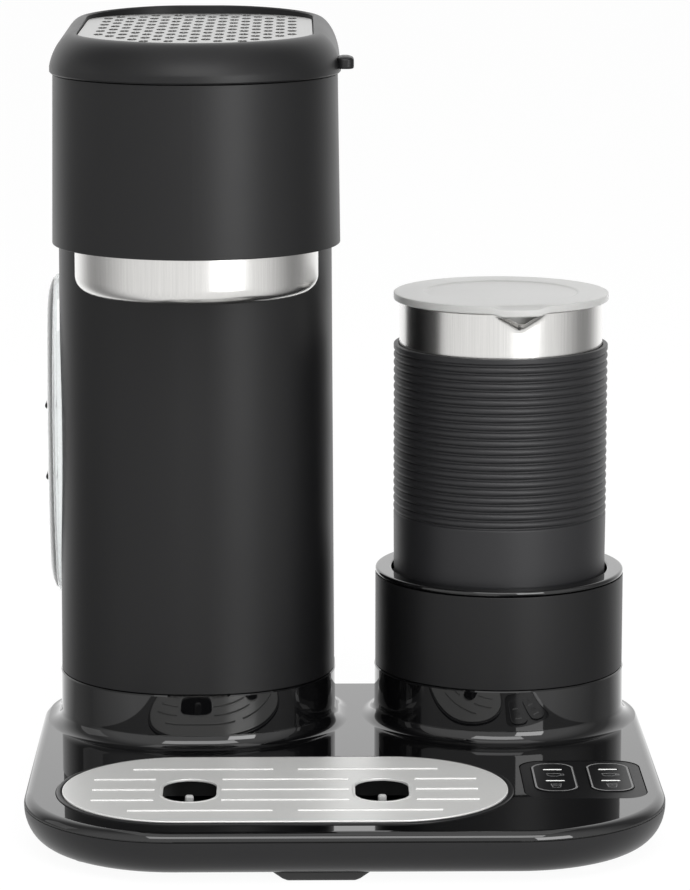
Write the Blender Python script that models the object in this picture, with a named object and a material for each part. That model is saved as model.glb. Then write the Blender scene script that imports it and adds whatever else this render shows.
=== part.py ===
"""Pod coffee machine with a milk frother, modelled as the separate pieces it is built from.

Metres, +Z up, X to the right and Y to the back. The origin is on the surface that the feet
stand on, under the middle of the base.
"""

import math

import bmesh
import bpy
from mathutils import Vector

# Gaps and walls that several pieces share
FIT_GAP = 0.0003
SLIDE_GAP = 0.0006
WALL = 0.0022
SHEET = 0.0009
CORNER_STEPS = 8
ROUND_SIDES = 40
SMALL_SIDES = 12
JUG_SIDES = 48

# Base
BASE_HALF_WIDTH = 0.1342
BASE_HALF_DEPTH = 0.1245
BASE_FRONT_RADIUS = 0.064
BASE_BACK_RADIUS = 0.050
BASE_UNDERSIDE = 0.0040
BASE_SEAM = 0.0193
BASE_TOP = 0.0233
BASE_TOP_ROUNDING = 0.0040
BASE_LOWER_ROUNDING = 0.0120
COVER_THICKNESS = 0.0024

# Feet and screws
FOOT_RADIUS = 0.0090
FOOT_X = 0.1045
FOOT_FRONT_Y = -0.0790
FOOT_REAR_Y = 0.0860
CENTRE_FOOT_X = -0.0102
CENTRE_FOOT_LENGTH = 0.0410
CENTRE_FOOT_DEPTH = 0.0130
CENTRE_FOOT_Y = -0.1070
CENTRE_FOOT_TAPER = 0.0100
SCREW_PLACES = ((-0.1140, 0.0040), (0.1140, 0.0040), (0.1000, -0.0960), (0.0105, 0.1060))
SCREW_RADIUS = 0.0015
SCREW_HEAD_RADIUS = 0.0030
SCREW_HEAD_HEIGHT = 0.0017
SCREW_LENGTH = 0.0100
SCREW_BOSS_RADIUS = 0.0036

# Pedestals that rise from the base
PEDESTAL_TOP = 0.0469
PEDESTAL_FLARE = 0.0060
PEDESTAL_PROUD = 0.0004
PEDESTAL_WALL = 0.0036

# Tower
TOWER_X = -0.0642
TOWER_HALF_WIDTH = 0.0610
TOWER_DRAFT = 0.0011
TOWER_FRONT = 0.0067
TOWER_BACK = 0.1182
TOWER_BACK_RADIUS = 0.042
TOWER_TOP = 0.2480
TOWER_FRAME_THICKNESS = 0.0026

# Water reservoir and its window
RESERVOIR_LEFT = -0.1180
RESERVOIR_RIGHT = -0.0720
RESERVOIR_FRONT = 0.0500
RESERVOIR_BACK = 0.1030
RESERVOIR_TOP = 0.3120
RESERVOIR_CORNER = 0.0100
RESERVOIR_BACK_CORNER = 0.0220
RESERVOIR_WALL = 0.0018
OUTLET_RADIUS = 0.0040
OUTLET_X = -0.1000
OUTLET_Y = 0.0840
WINDOW_Y = 0.0760
WINDOW_HALF_DEPTH = 0.0260
WINDOW_BOTTOM = 0.0780
WINDOW_TOP = 0.2230
WINDOW_BULGE = 0.0054
WINDOW_CROWN = 0.0160
WINDOW_WALL = 0.0018

# Head
HEAD_X = -0.0618
HEAD_HALF_WIDTH = 0.0605
HEAD_DRAFT = 0.0010
HEAD_FRONT = -0.0715
HEAD_BACK = 0.1186
HEAD_BACK_RADIUS = 0.042
HEAD_TOP = 0.3205
HEAD_FLOOR_THICKNESS = 0.0030
DECK_TOP = 0.3114
DECK_THICKNESS = 0.0022
DECK_HOLE_RADIUS = 0.0514

# Steel cup under the head, and what sits in it
CUP_RADIUS = 0.0512
CUP_BOTTOM = 0.2280
CUP_EDGE_RADIUS = 0.0065
CUP_MOUTH_RADIUS = 0.0135
CUP_FLANGE_WIDTH = 0.0030
CHAMBER_WALL = 0.0016
CHAMBER_NOZZLE_RADIUS = 0.0080
CHAMBER_BORE_RADIUS = 0.0040
CHAMBER_NOZZLE_BOTTOM = 0.2286
CHAMBER_FLOOR = 0.2400
BASKET_WALL = 0.0016
BASKET_BOTTOM = 0.2500
BASKET_TOP = 0.2990
BASKET_RIM_WIDTH = 0.0030
BASKET_DRAIN_RADIUS = 0.0030
POD_HOLDER_RADIUS = 0.0275
POD_HOLDER_BOTTOM = 0.2640
POD_HOLDER_WALL = 0.0012
NEEDLE_RADIUS = 0.0018
EXIT_NEEDLE_HEIGHT = 0.0090

# Lid
LID_OVERHANG = 0.0013
LID_BACK = 0.1190
LID_BACK_RADIUS = 0.043
LID_CREST_FRONT = 0.3353
LID_CREST_BACK = 0.3385
LID_STRAIGHT = 0.0028
LID_FULLNESS = 0.75
LID_CREST_ARCH = 0.0012
GRILLE_HALF_WIDTH = 0.0492
GRILLE_FRONT = -0.0566
GRILLE_BACK = 0.1120
GRILLE_BACK_RADIUS = 0.040
GRILLE_TOP = 0.3349
TAB_REACH = 0.0053
TAB_Y = -0.0160
TAB_LENGTH = 0.0130
TAB_BOTTOM = 0.3215
TAB_HEIGHT = 0.0052
LINER_SHARES = (0.04, 0.25)
LINER_BOSS_RADIUS = 0.0300
LINER_BOSS_BOTTOM = 0.3050
INLET_NEEDLE_LENGTH = 0.0130
SEAL_OUTER_RADIUS = 0.0250
SEAL_INNER_RADIUS = 0.0210
SEAL_HEIGHT = 0.0020

# Lid hinge
HINGE_Y = 0.1219
HINGE_Z = 0.3220
HINGE_BARREL_RADIUS = 0.0024
HINGE_PIN_RADIUS = 0.0010
HINGE_LENGTH = 0.0440
HINGE_KNUCKLE_LENGTH = 0.0090

# Drip tray and its cover
TRAY_X = -0.0250
TRAY_Y = -0.06045
COVER_LENGTH = 0.1866
COVER_DEPTH = 0.0983
COVER_PROUD = 0.0010
TRAY_RIM_WIDTH = 0.0022
TRAY_RIM_PROUD = 0.0006
TRAY_LEDGE_WIDTH = 0.0030
TRAY_TAPER = 0.0060
TRAY_FLOOR_THICKNESS = 0.0016
HOLE_SPACING = 0.0803
HOLE_WIDTH = 0.0226
HOLE_LENGTH = 0.0348
HOLE_X = -0.0247
HOLE_Y = -0.06405
POST_Y = -0.0700
POST_WIDTH = 0.0036
POST_DEPTH = 0.0024
POST_TOP = 0.0205

# Control panel
PANEL_X = 0.10075
PANEL_Y = -0.0451
PANEL_DEPTH = 0.0586
PANEL_RADIUS = 0.0100
PANEL_THICKNESS = 0.0010
PANEL_RECESS = 0.0015
PANEL_LEDGE = 0.0025
BUTTON_WIDTH = 0.0182
BUTTON_GAP = 0.0053
BUTTON_SPACING = BUTTON_WIDTH + BUTTON_GAP
PANEL_MARGIN = 0.0047
PANEL_WIDTH = BUTTON_SPACING + BUTTON_WIDTH + 2 * PANEL_MARGIN
BUTTON_LENGTH = 0.0434
BUTTON_RADIUS = 0.0075
BUTTON_Y = -0.0422
BUTTON_FLANGE = 0.0012
BUTTON_FLANGE_THICKNESS = 0.0010
BUTTON_TRAVEL = 0.0010
BUTTON_STEM_WIDTH = 0.0060
BUTTON_STEM_LENGTH = 0.0036
LIGHT_BAR_LENGTH = 0.0080
LIGHT_BAR_WIDTH = 0.0012
LIGHT_BAR_DEPTH = 0.0006
LIGHT_BAR_OFFSETS = (0.0120, -0.0055)
SWITCH_HEIGHT = 0.0015
SWITCH_WIDTH = 0.0060
BOARD_THICKNESS = 0.0016

# Power board and cord gland
POWER_BOARD_X = 0.0060
POWER_BOARD_Y = 0.0740
POWER_BOARD_WIDTH = 0.0520
POWER_BOARD_DEPTH = 0.0380
POWER_BOARD_BOTTOM = 0.0086
POWER_BOARD_PARTS = ((-0.016, 0.006, 0.013), (0.004, -0.007, 0.010), (0.017, 0.006, 0.011))
GLAND_X = 0.0400
GLAND_Z = 0.0132
GLAND_RADIUS = 0.0046
GLAND_FLANGE_RADIUS = 0.0051
GLAND_BORE_RADIUS = 0.0030
GLAND_LENGTH = 0.0120

# Pump and heater
PUMP_X = -0.0330
PUMP_Y = 0.0640
PUMP_RADIUS = 0.0170
PUMP_HEIGHT = 0.0560
HEATER_LENGTH = 0.0700
HEATER_DEPTH = 0.0360
HEATER_HEIGHT = 0.0240
HEATER_X = -0.0600
HEATER_Y = 0.0620
HEATER_BOTTOM = 0.0100
HOSE_RADIUS = 0.0030
HOSE_Y = 0.0950
PUMP_INLET_RADIUS = 0.0035
RISER_X = -0.0620
RISER_Y = 0.0600

# Milk frother base
FROTHER_X = 0.0708
FROTHER_Y = 0.0677
FROTHER_RADIUS = 0.0555
FROTHER_RIM_TOP = 0.0913
FROTHER_RIM_THICKNESS = 0.0022
WELL_CLEARANCE = 0.0007
WELL_FLOOR = 0.0700
WELL_WALL = 0.0020
HEATING_PLATE_RADIUS = 0.0400
HEATING_PLATE_THICKNESS = 0.0020
MAGNET_RADIUS = 0.0180
MAGNET_HEIGHT = 0.0045
MOTOR_RADIUS = 0.0140
MOTOR_BOTTOM = 0.0240
MOTOR_TOP = 0.0585
MOTOR_FLANGE_RADIUS = 0.0180
MOTOR_SHAFT_RADIUS = 0.0012
BRACKET_BOTTOM = 0.0400
BRACKET_THICKNESS = 0.0025

# Milk jug
JUG_RADIUS = 0.0450
JUG_WALL = 0.0009
JUG_TOP = 0.2118
JUG_FOOT_ROUNDING = 0.0020
SPOUT_TURN = 7.5
SPOUT_SPREAD = 17.0
SPOUT_DROP = 0.0085
SPOUT_REACH = 0.0045
SLEEVE_THICKNESS = 0.0025
SLEEVE_RADIUS = JUG_RADIUS + SLEEVE_THICKNESS
SLEEVE_DRAFT = 0.0004
SLEEVE_BOTTOM = 0.0765
SLEEVE_TOP = 0.1924
JUG_LID_OVERHANG = 0.0026
JUG_LID_RADIUS = JUG_RADIUS + JUG_LID_OVERHANG
JUG_LID_THICKNESS = 0.0034
JUG_LID_RIM_WIDTH = 0.0142
JUG_LID_RECESS_RADIUS = JUG_LID_RADIUS - JUG_LID_RIM_WIDTH
JUG_LID_RECESS = 0.0006
SKIRT_CLEARANCE = 0.0029
JUG_LID_SKIRT_RADIUS = JUG_RADIUS - JUG_WALL - SKIRT_CLEARANCE
JUG_LID_SKIRT_HEIGHT = 0.0090
JUG_LID_NOTCH_WIDTH = 0.0150
JUG_LID_NOTCH_DEPTH = 0.0036
LID_SEAL_HEIGHT = 0.0026
WHISK_POST_RADIUS = 0.0018
WHISK_POST_HEIGHT = 0.0100
WHISK_HUB_RADIUS = 0.0050
WHISK_HUB_HEIGHT = 0.0050
WHISK_RING_RADIUS = 0.0120
WHISK_WIRE_RADIUS = 0.0014

# Finishes: colour, roughness, metallic
FINISHES = {
    "matte_black": ((0.030, 0.030, 0.031), 0.45, 0.0),
    "gloss_black": ((0.008, 0.008, 0.009), 0.06, 0.0),
    "satin_black": ((0.022, 0.022, 0.023), 0.35, 0.0),
    "black_rubber": ((0.012, 0.012, 0.012), 0.80, 0.0),
    "black_silicone": ((0.018, 0.018, 0.019), 0.60, 0.0),
    "white_silicone": ((0.620, 0.620, 0.600), 0.60, 0.0),
    "satin_steel": ((0.600, 0.600, 0.590), 0.30, 1.0),
    "cast_aluminium": ((0.500, 0.500, 0.510), 0.50, 1.0),
    "clear_plastic": ((0.780, 0.800, 0.800), 0.10, 0.0),
    "frosted_plastic": ((0.640, 0.640, 0.640), 0.35, 0.0),
    "grey_plastic": ((0.420, 0.420, 0.420), 0.40, 0.0),
    "circuit_board": ((0.030, 0.120, 0.060), 0.50, 0.0),
    "magnet": ((0.200, 0.200, 0.210), 0.40, 1.0),
    "lit_white": ((0.850, 0.850, 0.850), 0.30, 0.0),
}


class Plan:
    """A rectangle seen from above, with its own corner radius at the front and at the back."""

    def __init__(self, x, half_width, front, back, front_radius, back_radius):
        self.x = x
        self.half_width = half_width
        self.front = front
        self.back = back
        self.front_radius = front_radius
        self.back_radius = back_radius

    def loop(self, z, inset=0.0, steps=CORNER_STEPS):
        """The outline at height z, moved inwards by inset, anticlockwise from above."""
        half = self.half_width - inset
        front = self.front + inset
        back = self.back - inset
        most = min(half, (back - front) / 2) - 0.00005
        front_radius = min(max(self.front_radius - inset, 0.0005), most)
        back_radius = min(max(self.back_radius - inset, 0.0005), most)
        corners = (
            (self.x + half - front_radius, front + front_radius, front_radius, -90),
            (self.x + half - back_radius, back - back_radius, back_radius, 0),
            (self.x - half + back_radius, back - back_radius, back_radius, 90),
            (self.x - half + front_radius, front + front_radius, front_radius, 180),
        )
        points = []
        for x, y, radius, start in corners:
            for step in range(steps + 1):
                angle = math.radians(start + 90 * step / steps)
                points.append(Vector((x + radius * math.cos(angle), y + radius * math.sin(angle), z)))
        return points

    def walk(self, profile, steps=CORNER_STEPS):
        """One outline for each (inset, z) of the profile."""
        return [self.loop(z, inset, steps) for inset, z in profile]


def centred_plan(x, y, width, depth, radius):
    return Plan(x, width / 2, y - depth / 2, y + depth / 2, radius, radius)


BASE_PLAN = Plan(
    0.0, BASE_HALF_WIDTH, -BASE_HALF_DEPTH, BASE_HALF_DEPTH, BASE_FRONT_RADIUS, BASE_BACK_RADIUS
)
TOWER_PLAN = Plan(
    TOWER_X, TOWER_HALF_WIDTH, TOWER_FRONT, TOWER_BACK, TOWER_HALF_WIDTH, TOWER_BACK_RADIUS
)
HEAD_PLAN = Plan(HEAD_X, HEAD_HALF_WIDTH, HEAD_FRONT, HEAD_BACK, HEAD_HALF_WIDTH, HEAD_BACK_RADIUS)
LID_HALF_WIDTH = HEAD_HALF_WIDTH - HEAD_DRAFT + LID_OVERHANG
LID_PLAN = Plan(
    HEAD_X,
    LID_HALF_WIDTH,
    HEAD_FRONT + HEAD_DRAFT - LID_OVERHANG,
    LID_BACK,
    LID_HALF_WIDTH,
    LID_BACK_RADIUS,
)
GRILLE_PLAN = Plan(
    HEAD_X, GRILLE_HALF_WIDTH, GRILLE_FRONT, GRILLE_BACK, GRILLE_HALF_WIDTH, GRILLE_BACK_RADIUS
)
COVER_PLAN = centred_plan(TRAY_X, TRAY_Y, COVER_LENGTH, COVER_DEPTH, COVER_DEPTH / 2)
PANEL_PLAN = centred_plan(PANEL_X, PANEL_Y, PANEL_WIDTH, PANEL_DEPTH, PANEL_RADIUS)

BREW_Y = HEAD_FRONT + HEAD_HALF_WIDTH
LID_BOTTOM = HEAD_TOP + FIT_GAP
HEAD_BOTTOM = TOWER_TOP + FIT_GAP
HEAD_FLOOR_TOP = HEAD_BOTTOM + HEAD_FLOOR_THICKNESS
CUP_FLANGE_BOTTOM = HEAD_FLOOR_TOP + FIT_GAP
CHAMBER_FLANGE_BOTTOM = CUP_FLANGE_BOTTOM + SHEET + FIT_GAP
CHAMBER_FLANGE_TOP = CHAMBER_FLANGE_BOTTOM + 0.0020
CHAMBER_RADIUS = CUP_RADIUS - SHEET - SLIDE_GAP
BASKET_RADIUS = CHAMBER_RADIUS - CHAMBER_WALL - SLIDE_GAP
TRAY_OUTSET = TRAY_RIM_WIDTH + FIT_GAP
TRAY_RIM_TOP = BASE_TOP + TRAY_RIM_PROUD
COVER_TOP = BASE_TOP + COVER_PROUD
BASE_FLOOR_TOP = BASE_UNDERSIDE + WALL
TRAY_BOTTOM = BASE_FLOOR_TOP + FIT_GAP
COVER_UNDERSIDE = BASE_TOP - COVER_THICKNESS
FRAME_BOTTOM = PEDESTAL_TOP + FIT_GAP
FRAME_TOP = FRAME_BOTTOM + TOWER_FRAME_THICKNESS
PANEL_TOP = BASE_TOP - 0.0002
PANEL_UNDERSIDE = PANEL_TOP - PANEL_THICKNESS
BUTTON_FLANGE_TOP = PANEL_UNDERSIDE - FIT_GAP
BUTTON_FLANGE_BOTTOM = BUTTON_FLANGE_TOP - BUTTON_FLANGE_THICKNESS
BUTTON_TOP = BASE_TOP + 0.0002
BUTTON_STEM_BOTTOM = BUTTON_FLANGE_BOTTOM - BUTTON_STEM_LENGTH
SWITCH_TOP = BUTTON_STEM_BOTTOM - BUTTON_TRAVEL - FIT_GAP
BOARD_TOP = SWITCH_TOP - SWITCH_HEIGHT - FIT_GAP
BOARD_BOTTOM = BOARD_TOP - BOARD_THICKNESS
WELL_RADIUS = SLEEVE_RADIUS + WELL_CLEARANCE
BRACKET_RADIUS = FROTHER_RADIUS + PEDESTAL_PROUD - WALL - FIT_GAP
JUG_BOTTOM = WELL_FLOOR + FIT_GAP + HEATING_PLATE_THICKNESS + FIT_GAP
JUG_FLOOR_TOP = JUG_BOTTOM + 0.0012


def clear_scene():
    for thing in list(bpy.data.objects):
        bpy.data.objects.remove(thing, do_unlink=True)


def paint(thing, finish):
    """Gives the object its own Principled material in one of the finishes."""
    colour, roughness, metallic = FINISHES[finish]
    material = bpy.data.materials.new(f"{thing.name}_{finish}")
    material.use_nodes = True
    shader = material.node_tree.nodes["Principled BSDF"]
    shader.inputs["Base Color"].default_value = (*colour, 1.0)
    shader.inputs["Roughness"].default_value = roughness
    shader.inputs["Metallic"].default_value = metallic
    material.diffuse_color = (*colour, 1.0)
    thing.data.materials.append(material)


def loft(loops, closed=False):
    """A bmesh skin over loops of equal length. Open ends get a cap, and a closed one is a tube's wall."""
    skin = bmesh.new()
    rings = [[skin.verts.new(point) for point in loop] for loop in loops]
    pairs = list(zip(rings, rings[1:]))
    if closed:
        pairs.append((rings[-1], rings[0]))
    for lower, upper in pairs:
        for index, corner in enumerate(lower):
            following = (index + 1) % len(lower)
            skin.faces.new((corner, lower[following], upper[following], upper[index]))
    if not closed:
        skin.faces.new(list(reversed(rings[0])))
        skin.faces.new(rings[-1])
    return skin


def add_object(name, skin, pivot=None):
    """Makes the object from a bmesh in world coordinates, hung on its pivot if it moves."""
    if pivot:
        bmesh.ops.translate(skin, verts=skin.verts, vec=-pivot.location)
    bmesh.ops.recalc_face_normals(skin, faces=skin.faces)
    mesh = bpy.data.meshes.new(name)
    skin.to_mesh(mesh)
    skin.free()
    thing = bpy.data.objects.new(name, mesh)
    bpy.context.scene.collection.objects.link(thing)
    thing.parent = pivot
    return thing


def solid(name, loops, finish, closed=False, pivot=None):
    thing = add_object(name, loft(loops, closed), pivot)
    thing.data.shade_smooth()
    thing.data.set_sharp_from_angle(angle=math.radians(35))
    paint(thing, finish)
    return thing


def helper(name, loops, closed=False):
    """A hidden shape that a Boolean adds or takes away."""
    thing = add_object(name, loft(loops, closed))
    thing.hide_render = True
    thing.display_type = "WIRE"
    return thing


def combine(thing, other, operation):
    change = thing.modifiers.new(f"{operation.lower()} {other.name}", "BOOLEAN")
    change.operation = operation
    change.solver = "EXACT"
    change.object = other


def cut(thing, name, loops, closed=False):
    combine(thing, helper(name, loops, closed), "DIFFERENCE")


def join(thing, name, loops, closed=False):
    combine(thing, helper(name, loops, closed), "UNION")


def pivot_at(name, location):
    pivot = bpy.data.objects.new(name, None)
    pivot.location = location
    bpy.context.scene.collection.objects.link(pivot)
    return pivot


def disc(x, y, radius, z, sides=ROUND_SIDES):
    points = []
    for side in range(sides):
        angle = 2 * math.pi * side / sides
        points.append(Vector((x + radius * math.cos(angle), y + radius * math.sin(angle), z)))
    return points


def turned(x, y, profile, sides=ROUND_SIDES):
    """One circle for each (radius, z) of the profile."""
    return [disc(x, y, radius, z, sides) for radius, z in profile]


def box(x_range, y_range, z_range):
    loops = []
    for z in z_range:
        corners = ((0, 0), (1, 0), (1, 1), (0, 1))
        loops.append([Vector((x_range[i], y_range[j], z)) for i, j in corners])
    return loops


def centred_box(x, y, width, depth, z_range):
    return box((x - width / 2, x + width / 2), (y - depth / 2, y + depth / 2), z_range)


def rod(start, end, radius, sides=SMALL_SIDES, end_radius=None):
    """Two circles square to the line from start to end."""
    start, end = Vector(start), Vector(end)
    turn = (end - start).to_track_quat("Z", "Y")
    loops = []
    for centre, size in ((start, radius), (end, radius if end_radius is None else end_radius)):
        loops.append([centre + turn @ point for point in disc(0, 0, size, 0, sides)])
    return loops


def quarter(radius, steps=3):
    """(inwards, upwards) steps round a quarter circle, from its upright side to its level side."""
    for step in range(steps + 1):
        angle = math.radians(90 * step / steps)
        yield radius * (1 - math.cos(angle)), radius * math.sin(angle)


def blend(first, second, share):
    return [a.lerp(b, share) for a, b in zip(first, second)]


# Base -------------------------------------------------------------------------------------


def lower_edge(thickness=0.0):
    """The base's rounded-in lower edge from its underside to the seam, as (inset, z) pairs."""
    height = BASE_SEAM - BASE_UNDERSIDE
    profile = []
    for step in range(6):
        angle = math.radians(18 * step)
        inset = BASE_LOWER_ROUNDING * (1 - math.sin(angle)) + thickness
        z = BASE_SEAM - height * math.cos(angle)
        profile.append((inset, min(z + thickness, BASE_SEAM)))
    return profile


def make_base_bottom_cover():
    outer = lower_edge()
    inner = list(reversed(lower_edge(WALL)))
    cover = solid("base_bottom_cover", BASE_PLAN.walk(outer + inner), "satin_black")
    rib_height = (BASE_FLOOR_TOP - 0.0008, BOARD_BOTTOM - FIT_GAP)
    for side in (-1, 1):
        rib_x = PANEL_X + side * 0.30 * PANEL_WIDTH
        join(cover, f"board_rib_{side}", centred_box(rib_x, PANEL_Y, 0.0020, 0.0300, rib_height))
    rib_height = (BASE_FLOOR_TOP - 0.0008, POWER_BOARD_BOTTOM - FIT_GAP)
    for side in (-1, 1):
        rib_x = POWER_BOARD_X + side * 0.38 * POWER_BOARD_WIDTH
        join(cover, f"power_rib_{side}", centred_box(rib_x, POWER_BOARD_Y, 0.0020, 0.0240, rib_height))
    rib_height = (BASE_FLOOR_TOP - 0.0008, HEATER_BOTTOM - FIT_GAP)
    for side in (-1, 1):
        rib_x = HEATER_X + side * 0.35 * HEATER_LENGTH
        join(cover, f"heater_rib_{side}", centred_box(rib_x, HEATER_Y, 0.0030, 0.0300, rib_height))
    for number, (x, y) in enumerate(SCREW_PLACES, 1):
        hole = [(SCREW_RADIUS + FIT_GAP, z) for z in (0.0, 0.0100)]
        cut(cover, f"bottom_screw_hole_{number}", turned(x, y, hole, SMALL_SIDES))
    hole = gland_rod(BASE_HALF_DEPTH - 0.0240, BASE_HALF_DEPTH + 0.0150, GLAND_RADIUS + FIT_GAP)
    cut(cover, "gland_hole", hole)


def pedestal_profile(inset):
    """The pedestal's flared foot and straight side, from inside the base's top up to the seam."""
    foot = inset - PEDESTAL_FLARE
    profile = [(foot, COVER_UNDERSIDE + 0.0010), (foot, BASE_TOP)]
    for inwards, upwards in list(quarter(PEDESTAL_FLARE, 4))[1:]:
        profile.append((foot + upwards, BASE_TOP + inwards))
    profile.append((inset, PEDESTAL_TOP))
    return profile


def make_base_top_cover():
    edge = [(0.0, BASE_SEAM + FIT_GAP), (0.0, BASE_TOP - BASE_TOP_ROUNDING + 0.0008)]
    for inwards, upwards in list(quarter(BASE_TOP_ROUNDING, 4))[1:]:
        rise = upwards * (BASE_TOP - edge[1][1]) / BASE_TOP_ROUNDING
        edge.append((inwards, edge[1][1] + rise))
    inside = [(WALL + 0.0020, COVER_UNDERSIDE), (WALL, BASE_SEAM + FIT_GAP)]
    cover = solid("base_top_cover", BASE_PLAN.walk(inside + edge), "gloss_black")

    feet = {"tower": TOWER_PLAN.walk(pedestal_profile(-PEDESTAL_PROUD)), "frother": []}
    for inset, z in pedestal_profile(-PEDESTAL_PROUD):
        feet["frother"].append(disc(FROTHER_X, FROTHER_Y, FROTHER_RADIUS - inset, z))
    limit_heights = (COVER_UNDERSIDE - 0.0020, PEDESTAL_TOP + 0.0020)
    limit = helper("pedestal_limit", BASE_PLAN.walk([(FIT_GAP, z) for z in limit_heights]))
    for name, loops in feet.items():
        pedestal = helper(f"{name}_pedestal", loops)
        combine(pedestal, limit, "INTERSECT")
        combine(cover, pedestal, "UNION")
    through = (COVER_UNDERSIDE - 0.0010, PEDESTAL_TOP + 0.0010)
    cut(cover, "tower_hollow", TOWER_PLAN.walk([(PEDESTAL_WALL, z) for z in through]))
    narrow, wide = FROTHER_RADIUS - PEDESTAL_WALL, BRACKET_RADIUS + FIT_GAP
    ledge = BRACKET_BOTTOM - FIT_GAP
    hollow = ((narrow, through[0]), (narrow, ledge), (wide, ledge), (wide, through[1]))
    cut(cover, "frother_hollow", turned(FROTHER_X, FROTHER_Y, hollow))

    for number, (x, y) in enumerate(SCREW_PLACES, 1):
        boss = [(SCREW_BOSS_RADIUS, z) for z in (BASE_FLOOR_TOP + FIT_GAP, COVER_UNDERSIDE + 0.0008)]
        join(cover, f"screw_boss_{number}", turned(x, y, boss, SMALL_SIDES))
        bore_heights = (BASE_FLOOR_TOP - 0.0010, BASE_UNDERSIDE + SCREW_LENGTH + 0.0010)
        bore = [(SCREW_RADIUS + FIT_GAP, z) for z in bore_heights]
        cut(cover, f"screw_bore_{number}", turned(x, y, bore, SMALL_SIDES))

    through = (COVER_UNDERSIDE - 0.0010, BASE_TOP + 0.0010)
    cut(cover, "tray_opening", COVER_PLAN.walk([(-TRAY_OUTSET - FIT_GAP, z) for z in through]))
    recess = (BASE_TOP - PANEL_RECESS, BASE_TOP + 0.0010)
    cut(cover, "panel_recess", PANEL_PLAN.walk([(-FIT_GAP, z) for z in recess]))
    cut(cover, "panel_hole", PANEL_PLAN.walk([(PANEL_LEDGE, z) for z in through]))


def make_feet():
    top = BASE_UNDERSIDE - FIT_GAP
    places = {
        "front_left": (-FOOT_X, FOOT_FRONT_Y),
        "front_right": (FOOT_X, FOOT_FRONT_Y),
        "rear_left": (-FOOT_X, FOOT_REAR_Y),
        "rear_right": (FOOT_X, FOOT_REAR_Y),
    }
    profile = ((FOOT_RADIUS - 0.0008, 0.0), (FOOT_RADIUS, 0.0008), (FOOT_RADIUS, top))
    for place, (x, y) in places.items():
        solid(f"foot_{place}", turned(x, y, profile, 24), "black_rubber")
    wide = centred_plan(CENTRE_FOOT_X, CENTRE_FOOT_Y, CENTRE_FOOT_LENGTH, CENTRE_FOOT_DEPTH, 0.0030)
    length = CENTRE_FOOT_LENGTH - CENTRE_FOOT_TAPER
    slim = centred_plan(CENTRE_FOOT_X, CENTRE_FOOT_Y, length, CENTRE_FOOT_DEPTH, 0.0030)
    solid("foot_front_centre", [slim.loop(0.0, 0, 4), wide.loop(top, 0, 4)], "black_rubber")


def make_screws():
    head_top = BASE_UNDERSIDE - FIT_GAP
    for number, (x, y) in enumerate(SCREW_PLACES, 1):
        profile = (
            (SCREW_HEAD_RADIUS - 0.0005, head_top - SCREW_HEAD_HEIGHT),
            (SCREW_HEAD_RADIUS, head_top - SCREW_HEAD_HEIGHT + 0.0005),
            (SCREW_HEAD_RADIUS, head_top),
            (SCREW_RADIUS, head_top),
            (SCREW_RADIUS, head_top + SCREW_LENGTH),
        )
        solid(f"base_screw_{number}", turned(x, y, profile, SMALL_SIDES), "satin_steel")


def make_boards():
    board = centred_box(
        PANEL_X, PANEL_Y, PANEL_WIDTH - 0.0080, PANEL_DEPTH - 0.0100, (BOARD_BOTTOM, BOARD_TOP)
    )
    solid("control_board", board, "circuit_board")
    for side, drink in ((-1, "coffee"), (1, "milk")):
        x = PANEL_X + side * BUTTON_SPACING / 2
        switch = centred_box(x, BUTTON_Y, SWITCH_WIDTH, SWITCH_WIDTH, (BOARD_TOP + FIT_GAP, SWITCH_TOP))
        solid(f"switch_{drink}", switch, "satin_black")
    plate = centred_box(
        POWER_BOARD_X,
        POWER_BOARD_Y,
        POWER_BOARD_WIDTH,
        POWER_BOARD_DEPTH,
        (POWER_BOARD_BOTTOM, POWER_BOARD_BOTTOM + BOARD_THICKNESS),
    )
    board = solid("power_board", plate, "circuit_board")
    parts_height = (POWER_BOARD_BOTTOM + 0.0008, COVER_UNDERSIDE - 0.0020)
    for number, (dx, dy, size) in enumerate(POWER_BOARD_PARTS, 1):
        part = centred_box(POWER_BOARD_X + dx, POWER_BOARD_Y + dy, size, size, parts_height)
        join(board, f"board_part_{number}", part)


def gland_rod(front, back, radius):
    """Two circles on the cord gland's axis, from front to back."""
    return rod((GLAND_X, front, GLAND_Z), (GLAND_X, back, GLAND_Z), radius)


def make_cord_gland():
    outer_end = BASE_HALF_DEPTH - 0.0002
    inner_end = outer_end - GLAND_LENGTH
    gland = solid("cord_gland", gland_rod(inner_end, outer_end, GLAND_RADIUS), "black_rubber")
    flange = gland_rod(inner_end - 0.0010, inner_end + 0.0025, GLAND_FLANGE_RADIUS)
    join(gland, "gland_flange", flange)
    cut(gland, "gland_bore", gland_rod(inner_end - 0.0100, outer_end + 0.0100, GLAND_BORE_RADIUS))


# Control panel ----------------------------------------------------------------------------


def make_control_panel():
    panel = solid("control_panel", PANEL_PLAN.walk([(0, PANEL_UNDERSIDE), (0, PANEL_TOP)]), "gloss_black")
    for side, drink in ((-1, "coffee"), (1, "milk")):
        x = PANEL_X + side * BUTTON_SPACING / 2
        outline = centred_plan(x, BUTTON_Y, BUTTON_WIDTH, BUTTON_LENGTH, BUTTON_RADIUS)
        opening = [(-FIT_GAP, PANEL_UNDERSIDE - 0.001), (-FIT_GAP, PANEL_TOP + 0.001)]
        cut(panel, f"{drink}_button_opening", outline.walk(opening, 5))
        make_button(drink, x, outline)


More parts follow.
